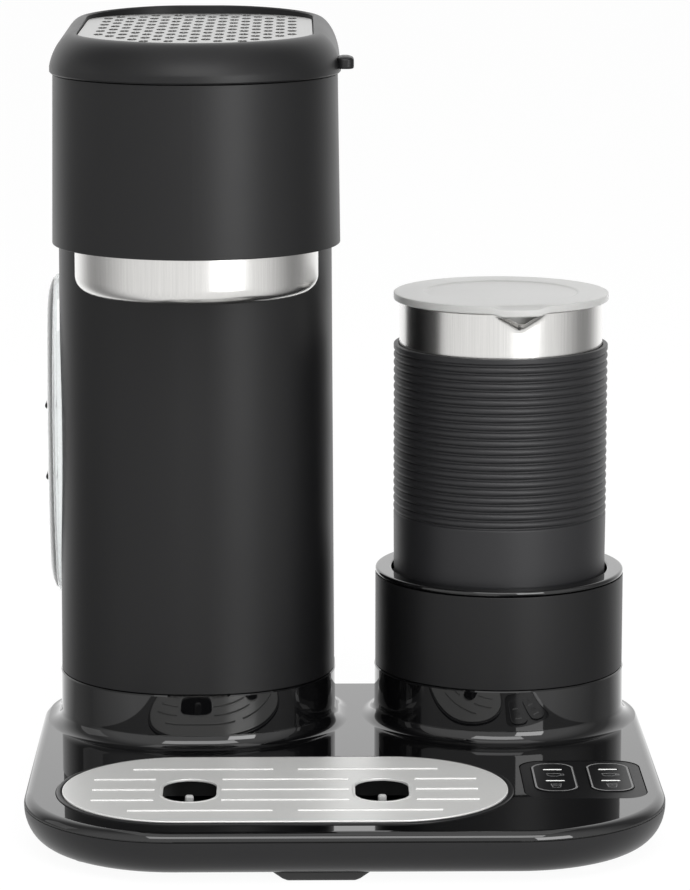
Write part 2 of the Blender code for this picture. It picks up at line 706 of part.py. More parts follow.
def make_button(drink, x, outline):
    pivot = pivot_at(f"button_{drink}_press", (x, BUTTON_Y, BUTTON_TOP))
    profile = (
        (-BUTTON_FLANGE, BUTTON_FLANGE_BOTTOM),
        (-BUTTON_FLANGE, BUTTON_FLANGE_TOP),
        (0.0, BUTTON_FLANGE_TOP),
        (0.0, BUTTON_TOP),
    )
    button = solid(f"button_{drink}", outline.walk(profile, 5), "gloss_black", pivot=pivot)
    stem_heights = (BUTTON_STEM_BOTTOM, BUTTON_FLANGE_BOTTOM + 0.0004)
    stem = centred_box(x, BUTTON_Y, BUTTON_STEM_WIDTH, BUTTON_STEM_WIDTH, stem_heights)
    join(button, f"button_{drink}_stem", stem)
    for place, offset in zip(("upper", "lower"), LIGHT_BAR_OFFSETS):
        y = BUTTON_Y + offset
        slot_height = (BUTTON_TOP - LIGHT_BAR_DEPTH - FIT_GAP, BUTTON_TOP + 0.001)
        slot = centred_box(x, y, LIGHT_BAR_LENGTH + 2 * FIT_GAP, LIGHT_BAR_WIDTH + 2 * FIT_GAP, slot_height)
        cut(button, f"light_slot_{drink}_{place}", slot)
        bar_heights = (BUTTON_TOP - LIGHT_BAR_DEPTH, BUTTON_TOP)
        bar = centred_box(x, y, LIGHT_BAR_LENGTH, LIGHT_BAR_WIDTH, bar_heights)
        solid(f"light_bar_{drink}_{place}", bar, "lit_white", pivot=pivot)


# Drip tray --------------------------------------------------------------------------------


def make_drip_tray():
    pivot = pivot_at("drip_tray_lift", (TRAY_X, TRAY_Y, TRAY_BOTTOM))
    ledge_top = COVER_TOP - SHEET - FIT_GAP
    floor_top = TRAY_BOTTOM + TRAY_FLOOR_THICKNESS
    rim_inset = -FIT_GAP
    taper = TRAY_TAPER - TRAY_OUTSET
    profile = (
        (taper, TRAY_BOTTOM),
        (taper - 0.0020, TRAY_BOTTOM + 0.0030),
        (0.0, COVER_UNDERSIDE - 0.0020),
        (-TRAY_OUTSET, COVER_UNDERSIDE),
        (-TRAY_OUTSET, TRAY_RIM_TOP),
        (rim_inset, TRAY_RIM_TOP),
        (rim_inset, ledge_top),
        (TRAY_LEDGE_WIDTH, ledge_top),
        (TRAY_LEDGE_WIDTH, COVER_UNDERSIDE - 0.0030),
        (taper + 0.0020, floor_top),
    )
    solid("drip_tray", COVER_PLAN.walk(profile), "satin_black", pivot=pivot)
    for side, place in ((-1, "left"), (1, "right")):
        x = HOLE_X + side * HOLE_SPACING / 2
        outline = centred_plan(x, POST_Y, POST_WIDTH, POST_DEPTH, POST_DEPTH / 2)
        profile = (
            (0.0, floor_top + FIT_GAP),
            (0.0, POST_TOP - 0.0008),
            (0.0006, POST_TOP),
        )
        solid(f"cover_post_{place}", outline.walk(profile, 3), "grey_plastic", pivot=pivot)


def make_drip_tray_cover():
    pivot = pivot_at("tray_cover_lift", (TRAY_X, TRAY_Y, COVER_TOP))
    profile = ((0.0, COVER_TOP - SHEET), (0.0, COVER_TOP - 0.0004), (0.0004, COVER_TOP))
    cover = solid("drip_tray_cover", COVER_PLAN.walk(profile), "satin_steel", pivot=pivot)
    for side, place in ((-1, "left"), (1, "right")):
        x = HOLE_X + side * HOLE_SPACING / 2
        hole = centred_plan(x, HOLE_Y, HOLE_WIDTH, HOLE_LENGTH, HOLE_WIDTH / 2)
        cut(cover, f"finger_hole_{place}", hole.walk([(0, COVER_TOP - 0.004), (0, COVER_TOP + 0.002)], 6))


# Tower ------------------------------------------------------------------------------------


def window_loop(x, inset=0.0, sides=36):
    """An upright oval round the window's middle, seen from the left, at the given x."""
    half_height = (WINDOW_TOP - WINDOW_BOTTOM) / 2 - inset
    half_depth = WINDOW_HALF_DEPTH - inset
    middle = (WINDOW_TOP + WINDOW_BOTTOM) / 2
    points = []
    for side in range(sides):
        angle = 2 * math.pi * side / sides
        y = WINDOW_Y - half_depth * math.cos(angle)
        points.append(Vector((x, y, middle + half_height * math.sin(angle))))
    return points


def make_tower_shell():
    bottom, top = PEDESTAL_TOP + FIT_GAP, TOWER_TOP
    profile = ((0.0, bottom), (TOWER_DRAFT, top), (TOWER_DRAFT + WALL, top), (WALL, bottom))
    shell = solid("tower_shell", TOWER_PLAN.walk(profile), "matte_black", closed=True)
    left = TOWER_X - TOWER_HALF_WIDTH
    cut(shell, "window_opening", [window_loop(left - 0.01), window_loop(left + 0.02)])
    notch = [(CUP_RADIUS + FIT_GAP, z) for z in (CUP_BOTTOM - FIT_GAP, TOWER_TOP + 0.001)]
    cut(shell, "cup_notch", turned(HEAD_X, BREW_Y, notch))


def make_window_lens():
    left = TOWER_X - TOWER_HALF_WIDTH
    loops = []
    for thickness in (WINDOW_WALL, 0.0):
        skin = [window_loop(RESERVOIR_LEFT - FIT_GAP, FIT_GAP + thickness)]
        for inwards, upwards in quarter(1.0, 4):
            x = left - (WINDOW_BULGE - thickness) * upwards
            skin.append(window_loop(x, FIT_GAP + thickness + WINDOW_CROWN * inwards))
        loops += skin if loops else reversed(skin)
    solid("window_lens", loops, "clear_plastic")


def make_tower_frame():
    inset = WALL + FIT_GAP
    frame = solid(
        "tower_frame", TOWER_PLAN.walk([(inset, FRAME_BOTTOM), (inset, FRAME_TOP)]), "satin_black"
    )
    through = (FRAME_BOTTOM - 0.001, FRAME_TOP + 0.001)
    outlet = [(OUTLET_RADIUS + FIT_GAP, z) for z in through]
    cut(frame, "outlet_hole", turned(OUTLET_X, OUTLET_Y, outlet, SMALL_SIDES))
    riser = [(HOSE_RADIUS + SLIDE_GAP, z) for z in through]
    cut(frame, "riser_hole", turned(RISER_X, RISER_Y, riser, SMALL_SIDES))
    cut(frame, "pump_hole", turned(PUMP_X, PUMP_Y, [(0.0060, z) for z in through], SMALL_SIDES))
    hose = [(HOSE_RADIUS + 2 * SLIDE_GAP, z) for z in through]
    cut(frame, "hose_hole", turned(PUMP_X, HOSE_Y, hose, SMALL_SIDES))


def reservoir_plan():
    middle = (RESERVOIR_LEFT + RESERVOIR_RIGHT) / 2
    half = (RESERVOIR_RIGHT - RESERVOIR_LEFT) / 2
    return Plan(middle, half, RESERVOIR_FRONT, RESERVOIR_BACK, RESERVOIR_CORNER, RESERVOIR_BACK_CORNER)


def make_water_reservoir():
    bottom = FRAME_TOP + FIT_GAP
    profile = (
        (0.0015, bottom),
        (0.0, bottom + 0.0020),
        (0.0, RESERVOIR_TOP),
        (RESERVOIR_WALL, RESERVOIR_TOP),
        (RESERVOIR_WALL, bottom + RESERVOIR_WALL),
    )
    tank = solid("water_reservoir", reservoir_plan().walk(profile, 5), "frosted_plastic")
    stub = [(OUTLET_RADIUS, z) for z in (FRAME_BOTTOM - 0.0040, bottom + 0.0010)]
    join(tank, "outlet_stub", turned(OUTLET_X, OUTLET_Y, stub, SMALL_SIDES))
    bore = [(OUTLET_RADIUS - 0.0014, z) for z in (FRAME_BOTTOM - 0.0060, bottom + 0.0040)]
    cut(tank, "outlet_bore", turned(OUTLET_X, OUTLET_Y, bore, SMALL_SIDES))


def make_pump():
    bottom = FRAME_TOP + FIT_GAP
    profile = (
        (0.0050, HEATER_BOTTOM + HEATER_HEIGHT + 0.0060 + FIT_GAP),
        (0.0050, bottom),
        (PUMP_RADIUS, bottom),
        (PUMP_RADIUS, bottom + 0.0300),
        (PUMP_RADIUS - 0.0030, bottom + 0.0310),
        (PUMP_RADIUS - 0.0030, bottom + PUMP_HEIGHT - 0.0010),
        (PUMP_RADIUS - 0.0040, bottom + PUMP_HEIGHT),
        (PUMP_INLET_RADIUS, bottom + PUMP_HEIGHT),
        (PUMP_INLET_RADIUS, bottom + PUMP_HEIGHT + 0.0060),
    )
    solid("water_pump", turned(PUMP_X, PUMP_Y, profile, 24), "satin_black")


def make_flow_heater():
    plan = centred_plan(HEATER_X, HEATER_Y, HEATER_LENGTH, HEATER_DEPTH, 0.012)
    top = HEATER_BOTTOM + HEATER_HEIGHT
    profile = ((0.002, HEATER_BOTTOM), (0.0, HEATER_BOTTOM + 0.002), (0.0, top - 0.002), (0.002, top))
    heater = solid("flow_heater", plan.walk(profile, 4), "cast_aluminium")
    stub = ((0.0045, top - 0.004), (0.0045, top + 0.0060))
    join(heater, "heater_inlet", turned(PUMP_X, PUMP_Y, stub, SMALL_SIDES))
    outlet = ((HOSE_RADIUS, top - 0.004), (HOSE_RADIUS, top + 0.0020))
    join(heater, "heater_outlet", turned(RISER_X, RISER_Y, outlet, SMALL_SIDES))


def tube(name, points, radius, finish):
    """A round hose along a smooth curve through the points."""
    curve = bpy.data.curves.new(name, "CURVE")
    curve.dimensions = "3D"
    curve.bevel_depth = radius
    curve.bevel_resolution = 2
    curve.resolution_u = 5
    curve.use_fill_caps = True
    spline = curve.splines.new("BEZIER")
    spline.bezier_points.add(len(points) - 1)
    for knot, point in zip(spline.bezier_points, points):
        knot.co = point
        knot.handle_left_type = "AUTO"
        knot.handle_right_type = "AUTO"
    hose = bpy.data.objects.new(name, curve)
    bpy.context.scene.collection.objects.link(hose)
    paint(hose, finish)


def make_hoses():
    start = FRAME_BOTTOM - 0.0040 - FIT_GAP
    pump_inlet = FRAME_TOP + FIT_GAP + PUMP_HEIGHT + 0.0060 + FIT_GAP
    low = FRAME_BOTTOM - 0.0100
    tube(
        "inlet_hose",
        (
            (OUTLET_X, OUTLET_Y, start),
            (OUTLET_X, OUTLET_Y, start - 0.0050),
            (OUTLET_X + 0.0170, HOSE_Y, low - 0.0040),
            (PUMP_X - 0.0200, HOSE_Y + 0.0010, low - 0.0040),
            (PUMP_X - 0.0020, HOSE_Y, low + 0.0030),
            (PUMP_X, HOSE_Y, FRAME_TOP + 0.0100),
            (PUMP_X, HOSE_Y - 0.0010, pump_inlet - 0.0160),
            (PUMP_X, (HOSE_Y + PUMP_Y) / 2, pump_inlet + 0.0120),
            (PUMP_X, PUMP_Y, pump_inlet + 0.0050),
            (PUMP_X, PUMP_Y, pump_inlet),
        ),
        HOSE_RADIUS,
        "white_silicone",
    )
    heater_outlet = HEATER_BOTTOM + HEATER_HEIGHT + 0.0020 + FIT_GAP
    solid(
        "riser_tube",
        rod((RISER_X, RISER_Y, heater_outlet), (RISER_X, RISER_Y, LID_BOTTOM - FIT_GAP), HOSE_RADIUS),
        "white_silicone",
    )


# Head -------------------------------------------------------------------------------------


def hinge_rod(x_start, x_end, radius):
    return rod((x_start, HINGE_Y, HINGE_Z), (x_end, HINGE_Y, HINGE_Z), radius)


def make_head_shell():
    profile = (
        (0.0, HEAD_BOTTOM),
        (HEAD_DRAFT, HEAD_TOP),
        (HEAD_DRAFT + WALL, HEAD_TOP),
        (WALL, HEAD_BOTTOM),
    )
    shell = solid("head_shell", HEAD_PLAN.walk(profile), "matte_black", closed=True)
    for side in (-1, 1):
        outer = HEAD_X + side * HINGE_LENGTH / 2
        inner = outer - side * HINGE_KNUCKLE_LENGTH
        low, high = min(outer, inner), max(outer, inner)
        join(shell, f"head_knuckle_{side}", hinge_rod(low, high, HINGE_BARREL_RADIUS))
        web = ((low, high), (HEAD_BACK - 0.0020, HINGE_Y), (HINGE_Z - 0.0080, HINGE_Z - 0.0018))
        join(shell, f"head_knuckle_web_{side}", box(*web))
    bore = hinge_rod(HEAD_X - HINGE_LENGTH, HEAD_X + HINGE_LENGTH, HINGE_PIN_RADIUS + FIT_GAP)
    cut(shell, "head_hinge_bore", bore)


def make_hinge_pin():
    half = HINGE_LENGTH / 2
    solid("lid_hinge_pin", hinge_rod(HEAD_X - half, HEAD_X + half, HINGE_PIN_RADIUS), "satin_steel")


def make_head_floor():
    inset = WALL + FIT_GAP
    floor = solid(
        "head_floor", HEAD_PLAN.walk([(inset, HEAD_BOTTOM), (inset, HEAD_FLOOR_TOP)]), "satin_black"
    )
    through = (HEAD_BOTTOM - 0.002, HEAD_FLOOR_TOP + 0.002)
    cup_hole = [(CUP_RADIUS + FIT_GAP, z) for z in through]
    cut(floor, "cup_hole", turned(HEAD_X, BREW_Y, cup_hole))
    cut(floor, "reservoir_hole", reservoir_plan().walk([(-FIT_GAP, z) for z in through], 5))
    riser = [(HOSE_RADIUS + SLIDE_GAP, z) for z in through]
    cut(floor, "floor_riser_hole", turned(RISER_X, RISER_Y, riser, SMALL_SIDES))


def make_head_deck():
    """The deck under the lid, with the openings that the basket and the water go in by."""
    inset = WALL + HEAD_DRAFT + FIT_GAP
    bottom = DECK_TOP - DECK_THICKNESS
    deck = solid("head_deck", HEAD_PLAN.walk([(inset, bottom), (inset, DECK_TOP)]), "satin_black")
    through = (bottom - 0.002, DECK_TOP + 0.002)
    cut(deck, "basket_hole", turned(HEAD_X, BREW_Y, [(DECK_HOLE_RADIUS, z) for z in through]))
    cut(deck, "filling_hole", reservoir_plan().walk([(-FIT_GAP, z) for z in through], 5))
    riser = [(HOSE_RADIUS + SLIDE_GAP, z) for z in through]
    cut(deck, "deck_riser_hole", turned(RISER_X, RISER_Y, riser, SMALL_SIDES))


def make_spout_cup():
    """The steel cup: a rolled lower edge, a straight side and a flange that hangs on the head floor."""
    inner = CUP_RADIUS - SHEET
    flange = CUP_RADIUS + CUP_FLANGE_WIDTH
    profile = [(CUP_MOUTH_RADIUS, CUP_BOTTOM)]
    for inwards, upwards in reversed(list(quarter(CUP_EDGE_RADIUS))):
        profile.append((CUP_RADIUS - inwards, CUP_BOTTOM + CUP_EDGE_RADIUS - upwards))
    profile += [(CUP_RADIUS, CUP_FLANGE_BOTTOM), (flange, CUP_FLANGE_BOTTOM)]
    profile += [(flange, CUP_FLANGE_BOTTOM + SHEET), (inner, CUP_FLANGE_BOTTOM + SHEET)]
    inner_edge = CUP_EDGE_RADIUS - SHEET
    for inwards, upwards in quarter(inner_edge):
        profile.append((inner - inwards, CUP_BOTTOM + CUP_EDGE_RADIUS - upwards))
    profile.append((CUP_MOUTH_RADIUS, CUP_BOTTOM + SHEET))
    solid("spout_cup", turned(HEAD_X, BREW_Y, profile), "satin_steel", closed=True)


def make_brew_chamber():
    flange = CUP_RADIUS + CUP_FLANGE_WIDTH
    inner = CHAMBER_RADIUS - CHAMBER_WALL
    profile = (
        (CHAMBER_NOZZLE_RADIUS, CHAMBER_NOZZLE_BOTTOM),
        (CHAMBER_NOZZLE_RADIUS, CHAMBER_FLOOR - CHAMBER_WALL),
        (CHAMBER_RADIUS, CHAMBER_FLOOR + 0.0060),
        (CHAMBER_RADIUS, CHAMBER_FLANGE_BOTTOM),
        (flange, CHAMBER_FLANGE_BOTTOM),
        (flange, CHAMBER_FLANGE_TOP),
        (inner, CHAMBER_FLANGE_TOP),
        (inner, CHAMBER_FLOOR + 0.0070),
        (CHAMBER_BORE_RADIUS, CHAMBER_FLOOR),
        (CHAMBER_BORE_RADIUS, CHAMBER_NOZZLE_BOTTOM),
    )
    solid("brew_chamber", turned(HEAD_X, BREW_Y, profile, 36), "satin_black", closed=True)


def make_brew_basket():
    inner = BASKET_RADIUS - BASKET_WALL
    rest = CHAMBER_FLANGE_TOP + FIT_GAP
    profile = (
        (BASKET_DRAIN_RADIUS, BASKET_BOTTOM),
        (BASKET_RADIUS, BASKET_BOTTOM),
        (BASKET_RADIUS, rest),
        (BASKET_RADIUS + BASKET_RIM_WIDTH, rest),
        (BASKET_RADIUS + BASKET_RIM_WIDTH, rest + BASKET_WALL),
        (BASKET_RADIUS, rest + 2 * BASKET_WALL),
        (BASKET_RADIUS, BASKET_TOP),
        (inner, BASKET_TOP),
        (inner, BASKET_BOTTOM + BASKET_WALL),
        (BASKET_DRAIN_RADIUS, BASKET_BOTTOM + BASKET_WALL),
    )
    solid("brew_basket", turned(HEAD_X, BREW_Y, profile, 36), "satin_black", closed=True)


def make_pod_holder():
    rest = BASKET_TOP + FIT_GAP
    inner = POD_HOLDER_RADIUS - POD_HOLDER_WALL
    floor = POD_HOLDER_BOTTOM + POD_HOLDER_WALL
    drain = NEEDLE_RADIUS + FIT_GAP
    profile = (
        (drain, POD_HOLDER_BOTTOM),
        (POD_HOLDER_RADIUS - 0.0030, POD_HOLDER_BOTTOM),
        (POD_HOLDER_RADIUS, rest),
        (BASKET_RADIUS, rest),
        (BASKET_RADIUS, rest + POD_HOLDER_WALL),
        (inner, rest + POD_HOLDER_WALL),
        (inner - 0.0030, floor),
        (drain, floor),
    )
    solid("pod_holder", turned(HEAD_X, BREW_Y, profile, 36), "grey_plastic", closed=True)
    tip = floor + EXIT_NEEDLE_HEIGHT
    needle = (
        (NEEDLE_RADIUS, POD_HOLDER_BOTTOM - 0.0020),
        (NEEDLE_RADIUS, tip - 0.0030),
        (0.0003, tip),
    )
    solid("exit_needle", turned(HEAD_X, BREW_Y, needle, 12), "satin_steel")


# Lid --------------------------------------------------------------------------------------


def crest_loop(inset, drop):
    """The lid's top rim, which rises from the front to the back."""
    points = GRILLE_PLAN.loop(0.0, inset)
    front, depth = GRILLE_PLAN.front, GRILLE_PLAN.back - GRILLE_PLAN.front
    for point in points:
        share = min(max((point.y - front) / depth, 0.0), 1.0)
        sag = LID_CREST_ARCH * share * ((point.x - HEAD_X) / GRILLE_HALF_WIDTH) ** 2
        point.z = LID_CREST_FRONT + (LID_CREST_BACK - LID_CREST_FRONT) * share - sag - drop
    return points


def lid_mouth(inset):
    return LID_PLAN.loop(LID_BOTTOM, WALL + inset)


def lid_ceiling(inset):
    return GRILLE_PLAN.loop(GRILLE_TOP - 0.0044 - inset, 0.0020 + inset)


def make_lid_shell(pivot):
    rim = crest_loop(-0.0016, 0.0)
    foot = LID_PLAN.loop(LID_BOTTOM + LID_STRAIGHT)
    loops = [lid_ceiling(0.0), lid_mouth(0.0), LID_PLAN.loop(LID_BOTTOM)]
    for inwards, upwards in quarter(1.0, 5):
        ring = blend(foot, rim, LID_FULLNESS * inwards + (1 - LID_FULLNESS) * upwards)
        for point, low, high in zip(ring, foot, rim):
            point.z = low.z + (high.z - low.z) * upwards
        loops.append(ring)
    loops.append(crest_loop(-FIT_GAP, 0.0004))
    loops.append(GRILLE_PLAN.loop(GRILLE_TOP - SHEET - FIT_GAP, -FIT_GAP))
    shell = solid("lid_shell", loops, "matte_black", pivot=pivot)

    edge = HEAD_X + LID_HALF_WIDTH
    tab = centred_plan(edge - 0.001 + TAB_REACH / 2, TAB_Y, TAB_REACH + 0.002, TAB_LENGTH, 0.0030)
    profile = (
        (0.0008, TAB_BOTTOM),
        (0.0, TAB_BOTTOM + 0.0008),
        (0.0, TAB_BOTTOM + 0.0040),
        (0.0024, TAB_BOTTOM + TAB_HEIGHT),
    )
    join(shell, "lid_tab", tab.walk(profile, 4))
    reach = HINGE_LENGTH / 2 - HINGE_KNUCKLE_LENGTH - FIT_GAP
    join(shell, "lid_knuckle", hinge_rod(HEAD_X - reach, HEAD_X + reach, HINGE_BARREL_RADIUS))
    web_y, web_z = (LID_BACK - 0.0016, HINGE_Y), (LID_BOTTOM + 0.0004, HINGE_Z + 0.0022)
    join(shell, "lid_knuckle_web", box((HEAD_X - reach, HEAD_X + reach), web_y, web_z))
    bore = hinge_rod(HEAD_X - HINGE_LENGTH, HEAD_X + HINGE_LENGTH, HINGE_PIN_RADIUS + FIT_GAP)
    cut(shell, "lid_hinge_bore", bore)


def make_lid_insides(pivot):
    grille = GRILLE_PLAN.walk([(0.0, GRILLE_TOP - SHEET), (0.0, GRILLE_TOP)])
    solid("lid_grille", grille, "satin_steel", pivot=pivot)
    bottom = LID_BOTTOM + 0.0004
    loops = []
    for share in LINER_SHARES:
        loops.append(blend(lid_mouth(SLIDE_GAP), lid_ceiling(SLIDE_GAP), share))
    liner = solid("lid_liner", loops, "satin_black", pivot=pivot)
    boss = ((LINER_BOSS_RADIUS - 0.0020, LINER_BOSS_BOTTOM), (LINER_BOSS_RADIUS, bottom + 0.0010))
    join(liner, "liner_boss", turned(HEAD_X, BREW_Y, boss, 36))
    cup = [(NEEDLE_RADIUS + FIT_GAP, z) for z in (LINER_BOSS_BOTTOM - 0.001, LINER_BOSS_BOTTOM + 0.0080)]
    cut(liner, "needle_socket", turned(HEAD_X, BREW_Y, cup, 12))
    tip = LINER_BOSS_BOTTOM - INLET_NEEDLE_LENGTH
    needle = (
        (0.0003, tip),
        (NEEDLE_RADIUS, tip + 0.0040),
        (NEEDLE_RADIUS, LINER_BOSS_BOTTOM + 0.0070),
    )
    solid("inlet_needle", turned(HEAD_X, BREW_Y, needle, 12), "satin_steel", pivot=pivot)
    low = LINER_BOSS_BOTTOM - FIT_GAP - SEAL_HEIGHT
    high = LINER_BOSS_BOTTOM - FIT_GAP
    ring = (
        (SEAL_OUTER_RADIUS, low),
        (SEAL_OUTER_RADIUS, high),
        (SEAL_INNER_RADIUS, high),
        (SEAL_INNER_RADIUS, low),
    )
    solid("pod_seal", turned(HEAD_X, BREW_Y, ring, 36), "white_silicone", closed=True, pivot=pivot)


# Milk frother -----------------------------------------------------------------------------


def make_frother_base():
    top = FROTHER_RIM_TOP - FROTHER_RIM_THICKNESS - FIT_GAP
    bottom = PEDESTAL_TOP + FIT_GAP
    inner = FROTHER_RADIUS - WALL
    tube_profile = ((FROTHER_RADIUS, bottom), (FROTHER_RADIUS, top), (inner, top), (inner, bottom))
    solid("frother_sleeve", turned(FROTHER_X, FROTHER_Y, tube_profile), "matte_black", closed=True)

    outer = WELL_RADIUS + WELL_WALL
    rim_bottom = FROTHER_RIM_TOP - FROTHER_RIM_THICKNESS
    profile = (
        (outer, WELL_FLOOR - WELL_WALL),
        (outer, rim_bottom),
        (FROTHER_RADIUS, rim_bottom),
        (FROTHER_RADIUS, FROTHER_RIM_TOP - 0.0010),
        (FROTHER_RADIUS - 0.0010, FROTHER_RIM_TOP),
        (WELL_RADIUS + 0.0010, FROTHER_RIM_TOP),
        (WELL_RADIUS, FROTHER_RIM_TOP - 0.0010),
        (WELL_RADIUS, WELL_FLOOR),
    )
    solid("frother_well", turned(FROTHER_X, FROTHER_Y, profile), "gloss_black")
    low = WELL_FLOOR + FIT_GAP
    plate = [(HEATING_PLATE_RADIUS, low), (HEATING_PLATE_RADIUS, low + HEATING_PLATE_THICKNESS)]
    solid("heating_plate", turned(FROTHER_X, FROTHER_Y, plate), "satin_steel")


def make_frother_drive():
    profile = (
        (MOTOR_RADIUS + FIT_GAP, BRACKET_BOTTOM),
        (BRACKET_RADIUS, BRACKET_BOTTOM),
        (BRACKET_RADIUS, BRACKET_BOTTOM + BRACKET_THICKNESS),
        (MOTOR_RADIUS + FIT_GAP, BRACKET_BOTTOM + BRACKET_THICKNESS),
    )
    solid("motor_bracket", turned(FROTHER_X, FROTHER_Y, profile), "satin_black", closed=True)
    flange_bottom = BRACKET_BOTTOM + BRACKET_THICKNESS + FIT_GAP
    bore = MOTOR_SHAFT_RADIUS + FIT_GAP
    profile = (
        (MOTOR_RADIUS, MOTOR_BOTTOM),
        (MOTOR_RADIUS, flange_bottom),
        (MOTOR_FLANGE_RADIUS, flange_bottom),
        (MOTOR_FLANGE_RADIUS, flange_bottom + 0.0015),
        (MOTOR_RADIUS, flange_bottom + 0.0015),
        (MOTOR_RADIUS, MOTOR_TOP),
        (bore, MOTOR_TOP),
        (bore, MOTOR_TOP - 0.0120),
    )
    solid("frother_motor", turned(FROTHER_X, FROTHER_Y, profile, 24), "satin_steel")
    magnet_top = WELL_FLOOR - WELL_WALL - SLIDE_GAP
    magnet_bottom = magnet_top - MAGNET_HEIGHT
    pivot = pivot_at("drive_magnet_spin", (FROTHER_X, FROTHER_Y, magnet_bottom))
    profile = (
        (MOTOR_SHAFT_RADIUS, MOTOR_TOP - 0.0100),
        (MOTOR_SHAFT_RADIUS, MOTOR_TOP + SLIDE_GAP),
        (0.0040, MOTOR_TOP + SLIDE_GAP),
        (0.0040, magnet_bottom),
        (MAGNET_RADIUS, magnet_bottom),
        (MAGNET_RADIUS, magnet_top),
    )
    solid("drive_magnet", turned(FROTHER_X, FROTHER_Y, profile, 24), "magnet", pivot=pivot)


def jug_loop(radius, z, sides=JUG_SIDES):
    """A circle that swells into the pouring spout near the jug's top."""
    rise = max((z - (JUG_TOP - SPOUT_DROP)) / SPOUT_DROP, 0.0)
    points = []
    for side in range(sides):
        turn = 360.0 * side / sides - 90.0 + SPOUT_TURN
        off_spout = abs((360.0 * side / sides + 180.0) % 360.0 - 180.0)
        reach = SPOUT_REACH * rise * max(1.0 - off_spout / SPOUT_SPREAD, 0.0)
        angle = math.radians(turn)
        spread = radius + reach
        points.append(
            Vector((FROTHER_X + spread * math.cos(angle), FROTHER_Y + spread * math.sin(angle), z))
        )
    return points


def make_jug():
    pivot = pivot_at("jug_lift", (FROTHER_X, FROTHER_Y, JUG_BOTTOM))
    inner = JUG_RADIUS - JUG_WALL
    spout_foot = JUG_TOP - SPOUT_DROP
    outer_side = [(JUG_RADIUS - JUG_FOOT_ROUNDING, JUG_BOTTOM)]
    outer_side += [(JUG_RADIUS, JUG_BOTTOM + JUG_FOOT_ROUNDING)]
    outer_side += [(JUG_RADIUS, spout_foot), (JUG_RADIUS, JUG_TOP - SPOUT_DROP / 2), (JUG_RADIUS, JUG_TOP)]
    inner_side = [(inner, JUG_TOP), (inner, JUG_TOP - SPOUT_DROP / 2), (inner, spout_foot)]
    inner_side += [(inner, JUG_FLOOR_TOP + JUG_FOOT_ROUNDING), (inner - JUG_FOOT_ROUNDING, JUG_FLOOR_TOP)]
    loops = [jug_loop(radius, z) for radius, z in outer_side + inner_side]
    jug = solid("jug_body", loops, "satin_steel", pivot=pivot)
    post_heights = (JUG_FLOOR_TOP - 0.0006, JUG_FLOOR_TOP + WHISK_POST_HEIGHT)
    post = [(WHISK_POST_RADIUS, z) for z in post_heights]
    join(jug, "whisk_post", turned(FROTHER_X, FROTHER_Y, post, 12))

    inside = JUG_RADIUS + FIT_GAP
    profile = (
        (SLEEVE_RADIUS - SLEEVE_DRAFT, SLEEVE_BOTTOM),
        (SLEEVE_RADIUS, SLEEVE_TOP),
        (inside, SLEEVE_TOP),
        (inside, SLEEVE_BOTTOM),
    )
    sleeve = turned(FROTHER_X, FROTHER_Y, profile, JUG_SIDES)
    solid("jug_sleeve", sleeve, "black_silicone", closed=True, pivot=pivot)


def make_jug_lid():
    bottom = JUG_TOP + FIT_GAP
    top = bottom + JUG_LID_THICKNESS
    pivot = pivot_at("jug_lid_lift", (FROTHER_X, FROTHER_Y, bottom))
    skirt_bottom = bottom - JUG_LID_SKIRT_HEIGHT
    profile = (
        (JUG_LID_SKIRT_RADIUS - 0.0018, bottom + 0.0004),
        (JUG_LID_SKIRT_RADIUS - 0.0018, skirt_bottom),
        (JUG_LID_SKIRT_RADIUS, skirt_bottom),
        (JUG_LID_SKIRT_RADIUS, bottom),
        (JUG_LID_RADIUS - 0.0008, bottom),
        (JUG_LID_RADIUS, bottom + 0.0010),
        (JUG_LID_RADIUS, top - 0.0010),
        (JUG_LID_RADIUS - 0.0010, top),
        (JUG_LID_RECESS_RADIUS + 0.0010, top),
        (JUG_LID_RECESS_RADIUS, top - JUG_LID_RECESS),
    )
    lid = solid("jug_lid", turned(FROTHER_X, FROTHER_Y, profile), "frosted_plastic", pivot=pivot)
    cut(lid, "jug_lid_notch", notch_loops(bottom - 0.001, top + 0.001))
    seal_outer = JUG_RADIUS - JUG_WALL - FIT_GAP
    seal_inner = JUG_LID_SKIRT_RADIUS + FIT_GAP
    low = skirt_bottom + 0.0015
    profile = (
        (seal_outer, low),
        (seal_outer, low + LID_SEAL_HEIGHT),
        (seal_inner, low + LID_SEAL_HEIGHT),
        (seal_inner, low),
    )
    solid("jug_lid_seal", turned(FROTHER_X, FROTHER_Y, profile), "white_silicone", closed=True, pivot=pivot)


def notch_loops(low, high):
    """The tapered notch in the jug lid's rim over the spout."""
    turn = math.radians(SPOUT_TURN - 90.0)
    out = Vector((math.cos(turn), math.sin(turn), 0.0))
    across = Vector((-out.y, out.x, 0.0))
    centre = Vector((FROTHER_X, FROTHER_Y, 0.0))
    inner = centre + out * (JUG_LID_RADIUS - JUG_LID_NOTCH_DEPTH)
    outer = centre + out * (JUG_LID_RADIUS + 0.0040)
    narrow, wide = JUG_LID_NOTCH_WIDTH / 2, JUG_LID_NOTCH_WIDTH / 2 + 0.0080
    corners = (
        inner - across * narrow,
        outer - across * wide,
        outer + across * wide,
        inner + across * narrow,
    )
    return [[corner + Vector((0, 0, z)) for corner in corners] for z in (low, high)]


